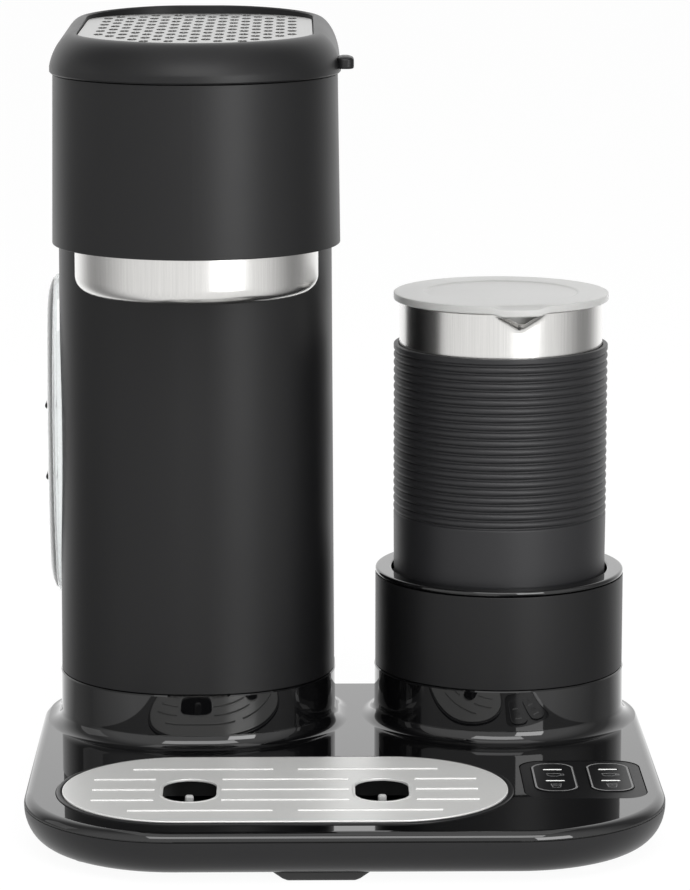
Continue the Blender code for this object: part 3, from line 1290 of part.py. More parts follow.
def make_whisk():
    bottom = JUG_FLOOR_TOP + SLIDE_GAP
    middle = bottom + WHISK_HUB_HEIGHT / 2
    pivot = pivot_at("whisk_spin", (FROTHER_X, FROTHER_Y, bottom))
    bore = WHISK_POST_RADIUS + FIT_GAP
    hub = (
        (WHISK_HUB_RADIUS, bottom),
        (WHISK_HUB_RADIUS, bottom + WHISK_HUB_HEIGHT),
        (bore, bottom + WHISK_HUB_HEIGHT),
        (bore, bottom),
    )
    whisk = solid("whisk", turned(FROTHER_X, FROTHER_Y, hub, 24), "satin_steel", closed=True, pivot=pivot)
    ring = []
    for step in range(6):
        angle = 2 * math.pi * step / 6
        radius = WHISK_RING_RADIUS + WHISK_WIRE_RADIUS * math.cos(angle)
        ring.append(disc(FROTHER_X, FROTHER_Y, radius, middle + WHISK_WIRE_RADIUS * math.sin(angle), 18))
    join(whisk, "whisk_ring", ring, closed=True)
    for spoke in range(3):
        angle = 2 * math.pi * spoke / 3 + 0.13
        reach = Vector((math.cos(angle), math.sin(angle), 0.0))
        axis = Vector((FROTHER_X, FROTHER_Y, middle))
        ends = (axis + reach * (bore + 0.0010), axis + reach * WHISK_RING_RADIUS)
        join(whisk, f"whisk_spoke_{spoke}", rod(*ends, WHISK_WIRE_RADIUS * 0.7, 8))


def main():
    clear_scene()
    make_base_bottom_cover()
    make_base_top_cover()
    make_feet()
    make_screws()
    make_boards()
    make_cord_gland()
    make_control_panel()
    make_drip_tray()
    make_drip_tray_cover()
    make_tower_shell()
    make_window_lens()
    make_tower_frame()
    make_water_reservoir()
    make_pump()
    make_flow_heater()
    make_hoses()
    make_head_shell()
    make_hinge_pin()
    make_head_floor()
    make_head_deck()
    make_spout_cup()
    make_brew_chamber()
    make_brew_basket()
    make_pod_holder()
    lid_pivot = pivot_at("lid_hinge", (HEAD_X, HINGE_Y, HINGE_Z))
    make_lid_shell(lid_pivot)
    make_lid_insides(lid_pivot)
    make_frother_base()
    make_frother_drive()
    make_jug()
    make_jug_lid()
    make_whisk()


if __name__ == "__main__":
    main()
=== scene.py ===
"""Pod coffee machine with a milk frother: its finished surfaces, its studio and its camera.

Metres, +Z up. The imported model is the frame: every piece here takes its place and its main sizes
from the node that it stands for, and rides on that node's body.
"""

import math

import bmesh
import bpy
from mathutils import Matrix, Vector


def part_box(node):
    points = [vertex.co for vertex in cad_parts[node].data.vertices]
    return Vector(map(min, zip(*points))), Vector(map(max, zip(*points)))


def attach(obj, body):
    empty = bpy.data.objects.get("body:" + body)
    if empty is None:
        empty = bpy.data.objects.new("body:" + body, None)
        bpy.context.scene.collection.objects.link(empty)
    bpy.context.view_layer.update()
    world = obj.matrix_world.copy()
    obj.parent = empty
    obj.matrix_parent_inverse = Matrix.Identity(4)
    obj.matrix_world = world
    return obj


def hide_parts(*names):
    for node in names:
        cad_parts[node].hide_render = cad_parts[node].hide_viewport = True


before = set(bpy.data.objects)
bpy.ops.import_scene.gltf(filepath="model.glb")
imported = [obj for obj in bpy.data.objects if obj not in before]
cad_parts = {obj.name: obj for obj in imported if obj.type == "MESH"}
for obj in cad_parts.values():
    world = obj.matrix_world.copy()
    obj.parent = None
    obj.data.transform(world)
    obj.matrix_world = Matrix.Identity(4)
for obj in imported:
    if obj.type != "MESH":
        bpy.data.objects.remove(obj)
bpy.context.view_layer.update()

bl_info = {
    "name": "Pod coffee machine with milk frother",
    "version": (1, 0, 0),
    "blender": (4, 5, 0),
    "location": "View3D > Sidebar > Coffee machine",
    "description": "Builds the finished pieces of a pod coffee machine round its packed frame",
    "category": "Add Mesh",
}



def centre_of(node):
    low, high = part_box(node)
    return (low + high) / 2


def half_width(node):
    low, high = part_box(node)
    return (high.x - low.x) / 2


# Gaps, walls and how finely curves are drawn
FIT_GAP = 0.0003
SLIDE_GAP = 0.0006
WALL = 0.0022
SHEET = 0.0009
ROUND_SIDES = 128
SMALL_SIDES = 32
EDGE_STEPS = 5

# Where the nodes are
BREW = centre_of("spout_cup")
FROTHER = centre_of("frother_sleeve")

# Base
BASE_FRONT_RADIUS = 0.064
BASE_BACK_RADIUS = 0.050
BASE_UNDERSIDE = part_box("base_bottom_cover")[0].z
BASE_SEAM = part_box("base_bottom_cover")[1].z
BASE_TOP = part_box("control_panel")[1].z + 0.0002
BASE_TOP_ROUNDING = 0.0040
BASE_LOWER_ROUNDING = 0.0120
COVER_THICKNESS = 0.0024
FOOT_ROUNDING = 0.0012
CENTRE_FOOT_TAPER = 0.0050
SCREW_SHANK_RADIUS = 0.0015
GLAND_RADIUS = 0.0046
GLAND_BORE = 0.0030
PEDESTAL_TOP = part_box("base_top_cover")[1].z
PEDESTAL_FLARE = 0.0060
PEDESTAL_PROUD = 0.0004
PEDESTAL_WALL = 0.0036

# Tower and its window
TOWER_DRAFT = 0.0011
TOWER_BACK_RADIUS = 0.042
WINDOW_BULGE = 0.0054
WINDOW_CROWN = 0.0160
WINDOW_WALL = 0.0018
WINDOW_SIDES = 96
RESERVOIR_WALL = 0.0018
LEVEL_MARKS = (0.1640, 0.1318)
LEVEL_MARK_LENGTH = 0.0120
LEVEL_MARK_RADIUS = 0.0015

# Head
HEAD_DRAFT = 0.0010
HEAD_BACK_RADIUS = 0.042
HEAD_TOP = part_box("lid_shell")[0].z
DECK_HOLE_RADIUS = 0.0514
EDGE_ROUNDING = 0.0005
HINGE_LENGTH = 0.0440
HINGE_KNUCKLE_LENGTH = 0.0090
HINGE_BARREL_RADIUS = 0.0024
HINGE_BORE_RADIUS = 0.0013

# Cup and brew parts
CUP_FLANGE_WIDTH = 0.0030
CUP_EDGE_RADIUS = 0.0065
CUP_MOUTH_RADIUS = 0.0135
CHAMBER_WALL = 0.0016
CHAMBER_NOZZLE_RADIUS = 0.0080
CHAMBER_BORE_RADIUS = 0.0040
CHAMBER_FLOOR = 0.2400
BASKET_WALL = 0.0016
BASKET_RIM_WIDTH = 0.0030
BASKET_DRAIN_RADIUS = 0.0030
POD_HOLDER_RADIUS = 0.0275
POD_HOLDER_WALL = 0.0012
NEEDLE_RADIUS = 0.0018

# Lid
LID_OVERHANG = 0.0013
LID_BACK_RADIUS = 0.043
LID_CREST_FRONT = 0.3353
LID_CREST_ARCH = 0.0012
LID_STRAIGHT = 0.0028
LID_FULLNESS = 0.75
LID_RIM_WIDTH = 0.0016
LID_CEILING_DEPTH = 0.0044
GRILLE_BACK_RADIUS = 0.040
TAB_REACH = 0.0053
TAB_Y = -0.0160
TAB_LENGTH = 0.0130
TAB_BOTTOM = 0.3215
TAB_HEIGHT = 0.0052
LINER_SHARES = (0.04, 0.25)
LINER_BOSS_RADIUS = 0.0300
SEAL_WIDTH = 0.0040

# Drip tray and its cover
TRAY_RIM_WIDTH = 0.0022
TRAY_LEDGE_WIDTH = 0.0030
TRAY_TAPER = 0.0060
TRAY_FLOOR_THICKNESS = 0.0016
POST_TIP = 0.0036
HOLE_WIDTH = 0.0226
HOLE_LENGTH = 0.0348
HOLE_SHIFT = -0.0036
HOLE_LIP_WIDTH = 0.0009
HOLE_LIP_HEIGHT = 0.0002
RIB_ROWS = 5
RIB_ROW_PITCH = 0.0157
RIB_ROW_SHIFT = -0.0020
OUTER_ROW_RIB = (0.0052, 0.0648)
CENTRE_RIB = (-0.0265, 0.0265)
SIDE_RIB = (0.0546, 0.0806)

# Control panel
PANEL_RADIUS = 0.0100
BUTTON_RADIUS = 0.0075
BUTTON_FLANGE = 0.0012
BUTTON_OUTLINE = 0.0006
BUTTON_STEM_WIDTH = 0.0060
CUP_SYMBOL_SHIFT = 0.0035
GLASS_SYMBOL_SHIFT = -0.0135
SYMBOL_LINE = 0.0003
INK_THICKNESS = 0.00005

# Frother
WELL_CLEARANCE = 0.0007
WELL_WALL = 0.0020
RIM_THICKNESS = 0.0022

# Jug
JUG_WALL = 0.0009
JUG_FOOT_ROUNDING = 0.0020
JUG_FLOOR = 0.0012
JUG_SIDES = 192
SPOUT_TURN = 7.5
SPOUT_SPREAD = 17.0
SPOUT_DROP = 0.0085
SPOUT_REACH = 0.0048
RIM_DIP = 0.0014
RIM_DIP_FLAT = 9.0
RIM_DIP_EDGE = 16.0
LIP_DIP = 0.0024
LIP_EDGE = 8.0
SPOUT_ROWS = 16
SLEEVE_THICKNESS = 0.0025
SLEEVE_LIP_HEIGHT = 0.0026
SLEEVE_GROOVE = 0.0010
SLEEVE_RIB_START = 0.1190
JUG_LID_RECESS_RADIUS = 0.0334
JUG_LID_RECESS = 0.0006
JUG_LID_SKIRT_RADIUS = 0.0412
JUG_LID_SKIRT_HEIGHT = 0.0090
JUG_LID_BEND_RADIUS = 0.0430
WHISK_WIRE_RADIUS = 0.0014
WHISK_HUB_RADIUS = 0.0050
WHISK_BORE_RADIUS = 0.0021

# Size of the broad patches in which a surface's gloss drifts
PATCH_SIZE = 1 / 22

# Camera and studio
CAMERA_PLACE = (-0.0198, -1.6000, 0.4590)
CAMERA_TURN = (79.38, 0.0, -0.738)
CAMERA_LENS = 153.89
FLOOR_SIZE = 12.0
# The floor's own white has this share and strength; the rest is matte paper that takes the shadow
FLOOR_GLOW = 0.88
FLOOR_WHITE = 1.07
WORLD_LEVEL = 0.416
WHITE = (1.0, 1.0, 1.0, 1.0)
GLOSS_LEVEL = 1.35
SCREEN_LEVELS = ((0.0, 0.90), (0.30, 0.78), (0.58, 0.24), (0.72, 0.28), (0.90, 1.0))


def linear(colour):
    """The linear RGB of an sRGB hex colour such as #29292A."""
    channels = []
    for start in (1, 3, 5):
        value = int(colour[start:start + 2], 16) / 255
        channels.append(value / 12.92 if value <= 0.04045 else ((value + 0.055) / 1.055) ** 2.4)
    return tuple(channels)


# Outlines and skins -------------------------------------------------------------------------


class Outline:
    """A rectangle seen from above, with its own corner radius at the front and at the back."""

    def __init__(self, low, high, front_radius, back_radius):
        self.x = (low.x + high.x) / 2
        self.half_width = (high.x - low.x) / 2
        self.front = low.y
        self.back = high.y
        self.front_radius = front_radius
        self.back_radius = back_radius

    @property
    def y(self):
        """The middle from front to back."""
        return (self.front + self.back) / 2

    def grown(self, amount):
        """The same outline, larger by amount on every side."""
        low = Vector((self.x - self.half_width - amount, self.front - amount, 0.0))
        high = Vector((self.x + self.half_width + amount, self.back + amount, 0.0))
        return Outline(low, high, self.front_radius + amount, self.back_radius + amount)

    def loop(self, z, inset=0.0, steps=24):
        """The outline at height z, moved inwards by inset, anticlockwise from above."""
        half = self.half_width - inset
        front = self.front + inset
        back = self.back - inset
        most = min(half, (back - front) / 2) - 0.00005
        front_radius = min(max(self.front_radius - inset, 0.0003), most)
        back_radius = min(max(self.back_radius - inset, 0.0003), most)
        corners = (
            (self.x + half - front_radius, front + front_radius, front_radius, -90),
            (self.x + half - back_radius, back - back_radius, back_radius, 0),
            (self.x - half + back_radius, back - back_radius, back_radius, 90),
            (self.x - half + front_radius, front + front_radius, front_radius, 180),
        )
        points = []
        for x, y, radius, start in corners:
            for step in range(steps + 1):
                angle = math.radians(start + 90 * step / steps)
                points.append(Vector((x + radius * math.cos(angle), y + radius * math.sin(angle), z)))
        return points

    def walk(self, profile, steps=24):
        """One outline for each (inset, z) of the profile."""
        return [self.loop(z, inset, steps) for inset, z in profile]


def outline_of(node, front_radius, back_radius=None):
    low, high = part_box(node)
    return Outline(low, high, front_radius, front_radius if back_radius is None else back_radius)


def centred_outline(x, y, width, depth, radius):
    reach = Vector((width / 2, depth / 2, 0.0))
    centre = Vector((x, y, 0.0))
    return Outline(centre - reach, centre + reach, radius, radius)


BASE = outline_of("base_bottom_cover", BASE_FRONT_RADIUS, BASE_BACK_RADIUS)
TOWER = outline_of("tower_shell", half_width("tower_shell"), TOWER_BACK_RADIUS)
HEAD = outline_of(
    "head_floor", half_width("head_floor"), HEAD_BACK_RADIUS - WALL - FIT_GAP
).grown(WALL + FIT_GAP)
GRILLE = outline_of("lid_grille", half_width("lid_grille"), GRILLE_BACK_RADIUS)
COVER_LOW, COVER_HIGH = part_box("drip_tray_cover")
COVER = Outline(COVER_LOW, COVER_HIGH, (COVER_HIGH.y - COVER_LOW.y) / 2, (COVER_HIGH.y - COVER_LOW.y) / 2)
PANEL = outline_of("control_panel", PANEL_RADIUS)
RESERVOIR = outline_of("water_reservoir", 0.0100, 0.0220)


def lid_outline():
    """The lid's foot, which stands a little proud of the head all round."""
    reach = HEAD.half_width - HEAD_DRAFT + LID_OVERHANG
    low = Vector((HEAD.x - reach, HEAD.front + HEAD_DRAFT - LID_OVERHANG, 0.0))
    high = Vector((HEAD.x + reach, HEAD.back + 0.0004, 0.0))
    return Outline(low, high, reach, LID_BACK_RADIUS)


LID = lid_outline()


def circle(centre, radius, z, sides=ROUND_SIDES):
    points = []
    for side in range(sides):
        angle = 2 * math.pi * side / sides
        points.append(Vector((centre.x + radius * math.cos(angle), centre.y + radius * math.sin(angle), z)))
    return points


def turned(centre, profile, sides=ROUND_SIDES):
    """One circle for each (radius, z) of the profile."""
    return [circle(centre, radius, z, sides) for radius, z in profile]


def softened(profile, radius, closed=False):
    """The profile with each corner rounded by about the radius, never past the middle of its sides."""
    points = [Vector(point) for point in profile]
    count = len(points)
    soft = []
    for index, corner in enumerate(points):
        if not closed and index in (0, count - 1):
            soft.append(tuple(corner))
            continue
        before, after = points[index - 1] - corner, points[(index + 1) % count] - corner
        first = corner + before.normalized() * min(radius, before.length * 0.45)
        last = corner + after.normalized() * min(radius, after.length * 0.45)
        for step in range(EDGE_STEPS):
            share = step / (EDGE_STEPS - 1)
            soft.append(tuple(first.lerp(corner, share).lerp(corner.lerp(last, share), share)))
    return soft


def turned_ring(name, centre, profile, rounding, sides=ROUND_SIDES):
    """A turned piece with a hole through its middle and rounded edges."""
    return shape(name, turned(centre, softened(profile, rounding, closed=True), sides), closed=True)


def drafted_casing(name, outline, bottom, top, draft):
    """A wall round the outline that leans in by the draft towards its top."""
    profile = [(0.0, bottom), (draft, top), (draft + WALL, top), (WALL, bottom)]
    loops = outline.walk(softened(profile, EDGE_ROUNDING, closed=True), 2 * sizes().corner_steps)
    return shape(name, loops, closed=True)


def arc(radius, steps=10):
    """(inwards, upwards) steps round a quarter circle, from its upright side to its level side."""
    for step in range(steps + 1):
        angle = math.radians(90 * step / steps)
        yield radius * (1 - math.cos(angle)), radius * math.sin(angle)


def blended(first, second, share):
    return [a.lerp(b, share) for a, b in zip(first, second)]


def shape(name, loops, closed=False):
    """A new object skinned over loops of equal length: capped, or a tube's wall if closed."""
    skin = bmesh.new()
    rings = [[skin.verts.new(point) for point in loop] for loop in loops]
    pairs = list(zip(rings, rings[1:]))
    if closed:
        pairs.append((rings[-1], rings[0]))
    for lower, upper in pairs:
        for index, corner in enumerate(lower):
            following = (index + 1) % len(lower)
            skin.faces.new((corner, lower[following], upper[following], upper[index]))
    if not closed:
        skin.faces.new(list(reversed(rings[0])))
        skin.faces.new(rings[-1])
    bmesh.ops.recalc_face_normals(skin, faces=skin.faces)
    mesh = bpy.data.meshes.new(name)
    skin.to_mesh(mesh)
    skin.free()
    thing = bpy.data.objects.new(name, mesh)
    bpy.context.scene.collection.objects.link(thing)
    return thing


def plain_mesh(thing):
    """Turns the object and its modifiers into a plain mesh."""
    graph = bpy.context.evaluated_depsgraph_get()
    mesh = bpy.data.meshes.new_from_object(thing.evaluated_get(graph))
    thing.modifiers.clear()
    thing.data = mesh


def change(thing, other, operation):
    """Cuts, joins or intersects the object with the other one, which is used up."""
    step = thing.modifiers.new("shape", "BOOLEAN")
    step.operation = operation
    step.solver = "EXACT"
    step.object = other
    plain_mesh(thing)
    bpy.data.objects.remove(other, do_unlink=True)


def cut(thing, loops, closed=False):
    change(thing, shape("cutter", loops, closed), "DIFFERENCE")


def join(thing, loops, closed=False):
    change(thing, shape("addition", loops, closed), "UNION")


def gather(thing, others):
    """Adds the meshes of separate bodies, such as printed marks, to the object as they are."""
    skin = bmesh.new()
    for part in [thing, *others]:
        skin.from_mesh(part.data)
    skin.to_mesh(thing.data)
    skin.free()
    for part in others:
        bpy.data.objects.remove(part, do_unlink=True)


def smooth(thing, sharp=35.0):
    """Smooth shading in which large flat faces stay flat and edges past the sharp angle stay crisp."""
    thing.data.shade_smooth()
    thing.data.set_sharp_from_angle(angle=math.radians(sharp))
    weighing = thing.modifiers.new("weighted normals", "WEIGHTED_NORMAL")
    weighing.keep_sharp = True
    plain_mesh(thing)


def fit(thing, finish, body, *nodes, sharp=35.0):
    """Gives a finished piece its material and its body, and puts it in the place of its nodes."""
    smooth(thing, sharp)
    if not thing.data.materials:
        thing.data.materials.append(material(finish))
    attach(thing, body)
    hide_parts(*nodes)
    return thing


def box_loops(x_range, y_range, z_range):
    loops = []
    for z in z_range:
        corners = ((0, 0), (1, 0), (1, 1), (0, 1))
        loops.append([Vector((x_range[i], y_range[j], z)) for i, j in corners])
    return loops


def rod(start, end, radius, sides=SMALL_SIDES):
    """Two circles square to the line from start to end."""
    start, end = Vector(start), Vector(end)
    turn = (end - start).to_track_quat("Z", "Y")
    loops = []
    for centre in (start, end):
        loops.append([centre + turn @ point for point in circle(Vector(), radius, 0.0, sides)])
    return loops


# Geometry Nodes -----------------------------------------------------------------------------


def add_node(tree, kind, inputs=None, **settings):
    """Adds a node. inputs maps a socket's name or number to a value or to another node's output."""
    node = tree.nodes.new(kind)
    for name, value in settings.items():
        setattr(node, name, value)
    for name, value in (inputs or {}).items():
        if isinstance(value, bpy.types.NodeSocket):
            tree.links.new(value, node.inputs[name])
        else:
            node.inputs[name].default_value = value
    return node


def geometry_tree(name, sizes):
    """A new tree with its named inputs, and the node that gives them."""
    tree = bpy.data.node_groups.new(name, "GeometryNodeTree")
    tree.interface.new_socket("Geometry", in_out="INPUT", socket_type="NodeSocketGeometry")
    for label, kind in sizes.items():
        tree.interface.new_socket(label, in_out="INPUT", socket_type=kind)
    tree.interface.new_socket("Geometry", in_out="OUTPUT", socket_type="NodeSocketGeometry")
    return tree, add_node(tree, "NodeGroupInput").outputs


def close_tree(tree, geometry, finish):
    """Ends the tree in Realize Instances and Set Material."""
    real = add_node(tree, "GeometryNodeRealizeInstances", {"Geometry": geometry})
    painted = add_node(tree, "GeometryNodeSetMaterial", {"Geometry": real.outputs[0], "Material": finish})
    add_node(tree, "NodeGroupOutput", {"Geometry": painted.outputs[0]})


def run_tree(thing, tree, values):
    """Runs the tree on the object with these values, and keeps the result as a plain mesh."""
    step = thing.modifiers.new(tree.name, "NODES")
    step.node_group = tree
    for item in tree.interface.items_tree:
        if item.in_out == "INPUT" and item.name in values:
            step[item.identifier] = values[item.name]
    plain_mesh(thing)


def perforation_tree():
    """Cuts an oval hole through the plate at each point of the mesh."""
    sizes = {
        "Plate": "NodeSocketObject",
        "Hole Radius": "NodeSocketFloat",
        "Hole Shape": "NodeSocketVector",
        "Depth": "NodeSocketFloat",
        "Sides": "NodeSocketInt",
        "Finish": "NodeSocketMaterial",
    }
    tree, given = geometry_tree("perforation", sizes)
    pin = add_node(
        tree,
        "GeometryNodeMeshCylinder",
        {"Vertices": given["Sides"], "Radius": given["Hole Radius"], "Depth": given["Depth"]},
    )
    pins = add_node(
        tree,
        "GeometryNodeInstanceOnPoints",
        {"Points": given["Geometry"], "Instance": pin.outputs["Mesh"], "Scale": given["Hole Shape"]},
    )
    cutters = add_node(tree, "GeometryNodeRealizeInstances", {"Geometry": pins.outputs[0]})
    plate = add_node(tree, "GeometryNodeObjectInfo", {"Object": given["Plate"]})
    drilled = add_node(
        tree,
        "GeometryNodeMeshBoolean",
        {"Mesh 1": plate.outputs["Geometry"], "Mesh 2": cutters.outputs[0]},
        operation="DIFFERENCE",
        solver="MANIFOLD",
    )
    close_tree(tree, drilled.outputs[0], given["Finish"])
    return tree


def ring_rib_tree():
    """Puts a round rib, a ring of wire, at each point of the mesh."""
    sizes = {
        "Ring Radius": "NodeSocketFloat",
        "Rib Radius": "NodeSocketFloat",
        "Sides": "NodeSocketInt",
        "Finish": "NodeSocketMaterial",
    }
    tree, given = geometry_tree("ring_ribs", sizes)
    path = add_node(
        tree,
        "GeometryNodeCurvePrimitiveCircle",
        {"Resolution": given["Sides"], "Radius": given["Ring Radius"]},
    )
    wire = add_node(
        tree, "GeometryNodeCurvePrimitiveCircle", {"Resolution": 16, "Radius": given["Rib Radius"]}
    )
    ring = add_node(
        tree,
        "GeometryNodeCurveToMesh",
        {"Curve": path.outputs["Curve"], "Profile Curve": wire.outputs["Curve"]},
    )
    rings = add_node(
        tree,
        "GeometryNodeInstanceOnPoints",
        {"Points": given["Geometry"], "Instance": ring.outputs[0]},
    )
    close_tree(tree, rings.outputs[0], given["Finish"])
    return tree


def pressed_rib_tree():
    """Lays a rounded rib along each edge of the mesh."""
    sizes = {"Rib Radius": "NodeSocketFloat", "Finish": "NodeSocketMaterial"}
    tree, given = geometry_tree("pressed_ribs", sizes)
    path = add_node(tree, "GeometryNodeMeshToCurve", {"Mesh": given["Geometry"]})
    wire = add_node(
        tree, "GeometryNodeCurvePrimitiveCircle", {"Resolution": 20, "Radius": given["Rib Radius"]}
    )
    ribs = add_node(
        tree,
        "GeometryNodeCurveToMesh",
        {"Curve": path.outputs[0], "Profile Curve": wire.outputs["Curve"], "Fill Caps": True},
    )
    close_tree(tree, ribs.outputs[0], given["Finish"])
    return tree


def guide(name, points, edges=()):
    """An object of bare points or edges for a tree to work on."""
    mesh = bpy.data.meshes.new(name)
    mesh.from_pydata([tuple(point) for point in points], list(edges), [])
    thing = bpy.data.objects.new(name, mesh)
    bpy.context.scene.collection.objects.link(thing)
    return thing


# Materials ----------------------------------------------------------------------------------


def surface(
    name, colour, roughness, grain, depth, stretch=(1.0, 1.0, 1.0), tone=0.05, sheen_off=0.04, sockets=None
):
    """A Principled surface with a grain of the given size in metres: it lifts the surface by depth,
    and shifts its brightness by the share tone and its roughness by sheen_off."""
    finish = bpy.data.materials.new(name)
    finish.use_nodes = True
    tree = finish.node_tree
    tree.nodes.clear()
    place = add_node(tree, "ShaderNodeTexCoord").outputs["Object"]
    scale = tuple(1.0 / (grain * along) for along in stretch)
    fine_place = add_node(tree, "ShaderNodeMapping", {"Vector": place, "Scale": scale}).outputs[0]
    grains = {"Vector": fine_place, "Scale": 1.0, "Detail": 2.0}
    fine = add_node(tree, "ShaderNodeTexNoise", grains).outputs[0]
    patches = {"Vector": place, "Scale": 1 / PATCH_SIZE, "Detail": 1.0}
    broad = add_node(tree, "ShaderNodeTexNoise", patches).outputs[0]
    tones = {"Value": fine, "To Min": 1.0 - tone, "To Max": 1.0 + tone}
    shift = add_node(tree, "ShaderNodeMapRange", tones).outputs[0]
    tint = add_node(tree, "ShaderNodeHueSaturation", {"Value": shift, "Color": (*colour, 1.0)}).outputs[0]
    drift = {"Value": broad, "To Min": max(roughness - sheen_off, 0.0), "To Max": roughness + sheen_off}
    gloss = add_node(tree, "ShaderNodeMapRange", drift).outputs[0]
    bump = add_node(tree, "ShaderNodeBump", {"Height": fine, "Strength": 1.0, "Distance": depth}).outputs[0]
    values = {"Base Color": tint, "Roughness": gloss, "Normal": bump, **(sockets or {})}
    shader = add_node(tree, "ShaderNodeBsdfPrincipled", values)
    add_node(tree, "ShaderNodeOutputMaterial", {"Surface": shader.outputs[0]})
    finish.diffuse_color = (*colour, 1.0)
    return finish


# Each finish's slot, the name of its colour, and what surface() takes: its roughness, the size and
# depth of its grain in metres, and the rest by name.
FINISHES = {
    # Black ABS moulded in a spark-eroded tool: an even fine grain that spreads each highlight wide.
    "spark_eroded_abs": ("housing_matte", "matte_black", (0.42, 0.0009, 0.00002), {
        "tone": 0.08, "sockets": {"Specular IOR Level": 0.27},
    }),
    # Black ABS from a polished tool: a mirror at low angles, almost black from above, with the very
    # faint waviness of a moulding.
    "polished_abs": ("housing_gloss", "gloss_black", (0.035, 0.030, 0.000004), {
        "tone": 0.0, "sheen_off": 0.012, "sockets": {"IOR": 1.55},
    }),
    # Hard-coated anti-glare film over the touch panel: it stays dark even at low angles.
    "anti_glare_film": ("housing_gloss", "film_black", (0.30, 0.0008, 0.000006), {
        "tone": 0.04, "sockets": {"Specular IOR Level": 0.06},
    }),
    # Black ABS from a lightly blasted tool: a soft sheen with no clear reflections.
    "satin_abs": ("plastic_satin", "satin_black", (0.34, 0.0008, 0.000012), {
        "tone": 0.06, "sockets": {"Specular IOR Level": 0.25},
    }),
    # Compression moulded rubber: dull and slightly powdery.
    "moulded_rubber": ("rubber_black", "rubber_black", (0.72, 0.0012, 0.00004), {
        "tone": 0.12, "sockets": {"IOR": 1.52},
    }),
    # Black silicone rubber, moulded: dull, with a dusty sheen at glancing angles.
    "black_silicone": ("silicone_black", "silicone_black", (0.46, 0.0011, 0.00002), {
        "tone": 0.10, "sockets": {"IOR": 1.43, "Sheen Weight": 0.06, "Sheen Roughness": 0.4},
    }),
    # White silicone seals and hoses: milky and soft.
    "white_silicone": ("silicone_white", "silicone_white", (0.50, 0.0012, 0.00002), {
        "sockets": {"IOR": 1.43},
    }),
    # Stainless steel brushed upwards: fine upright streaks. Real scratches are about 0.05 mm apart;
    # they are drawn ten times as coarse so that they show.
    "steel_brushed_upright": ("steel_satin", "steel", (0.24, 0.0005, 0.000003), {
        "stretch": (1.0, 1.0, 80.0), "tone": 0.10, "sheen_off": 0.03, "sockets": {"Metallic": 1.0},
    }),
    # Stainless sheet, bead blasted after pressing: so finely dimpled that it scatters light from all
    # sides and looks pale, even where it faces something black.
    "steel_bead_blasted": ("steel_satin", "blasted_steel", (0.40, 0.0006, 0.000006), {
        "tone": 0.03, "sheen_off": 0.03, "sockets": {"Metallic": 0.25},
    }),
    # Perforated stainless sheet brushed from front to back, duller and greyer than the drawn parts.
    "steel_brushed_lengthwise": ("steel_satin", "plate_steel", (0.38, 0.0005, 0.000004), {
        "stretch": (1.0, 70.0, 1.0), "tone": 0.06, "sheen_off": 0.03, "sockets": {"Metallic": 1.0},
    }),
    # Small turned steel parts such as screws, needles and pins: bright, with a slight haze.
    "turned_steel": ("steel_satin", "steel", (0.26, 0.0006, 0.000004), {"sockets": {"Metallic": 1.0}}),
    # Die-cast aluminium: a grey, uneven skin.
    "cast_aluminium": ("aluminium_cast", "aluminium", (0.52, 0.0016, 0.00006), {
        "tone": 0.10, "sockets": {"Metallic": 1.0},
    }),
    # Clear polycarbonate, injection moulded: see-through, with dark lines where its edges bend light.
    "clear_polycarbonate": ("window_clear", "window", (0.05, 0.020, 0.000004), {
        "tone": 0.0, "sheen_off": 0.02, "sockets": {"IOR": 1.58, "Transmission Weight": 0.92},
    }),
    # Frosted copolyester: lets light through but shows no clear shapes behind it.
    "frosted_copolyester": ("plastic_frosted", "frosted", (0.34, 0.0014, 0.00001), {
        "tone": 0.03, "sockets": {"IOR": 1.54, "Transmission Weight": 0.30},
    }),
    # Light grey ABS, plain moulded.
    "grey_abs": ("plastic_grey", "plastic_grey", (0.38, 0.0010, 0.00001), {"tone": 0.04}),
    # Green solder mask over copper: smooth, with tracks that show as lighter bands.
    "solder_mask": ("board_green", "board_green", (0.38, 0.0035, 0.00004), {"tone": 0.30}),
    # Pressed and sintered ferrite magnet: dark, dense and slightly speckled.
    "sintered_ferrite": ("magnet_steel", "ferrite", (0.48, 0.0009, 0.00002), {
        "tone": 0.18, "sockets": {"Metallic": 0.4},
    }),
    # Opal acrylic light pipe with a lamp behind it: an even white glow.
    "lit_acrylic": ("light_white", "lit_white", (0.35, 0.0010, 0.000004), {
        "tone": 0.02, "sockets": {"Emission Color": WHITE, "Emission Strength": 0.35},
    }),
    # Grey screen-printing ink: flat, thin and dull.
    "screen_ink": ("plastic_grey", "ink_grey", (0.55, 0.0008, 0.000006), {"tone": 0.06}),
}


def material(finish):
    """The finish's material, made the first time that it is asked for."""
    _, tint, grain, settings = FINISHES[finish]
    look = getattr(bpy.context.scene.coffee_colours, tint)
    return bpy.data.materials.get(finish) or surface(finish, look, *grain, **settings)


# What a user can change ----------------------------------------------------------------------


def length(name, description, default):
    return bpy.props.FloatProperty(
        name=name, description=description, default=default, min=0.0, unit="LENGTH"
    )


def count(name, description, default):
    return bpy.props.IntProperty(name=name, description=description, default=default, min=3)


def colour(name, description, default):
    """A colour that is written here in sRGB hex."""
    return bpy.props.FloatVectorProperty(
        name=name, description=description, default=linear(default), subtype="COLOR", min=0.0, max=1.0
    )


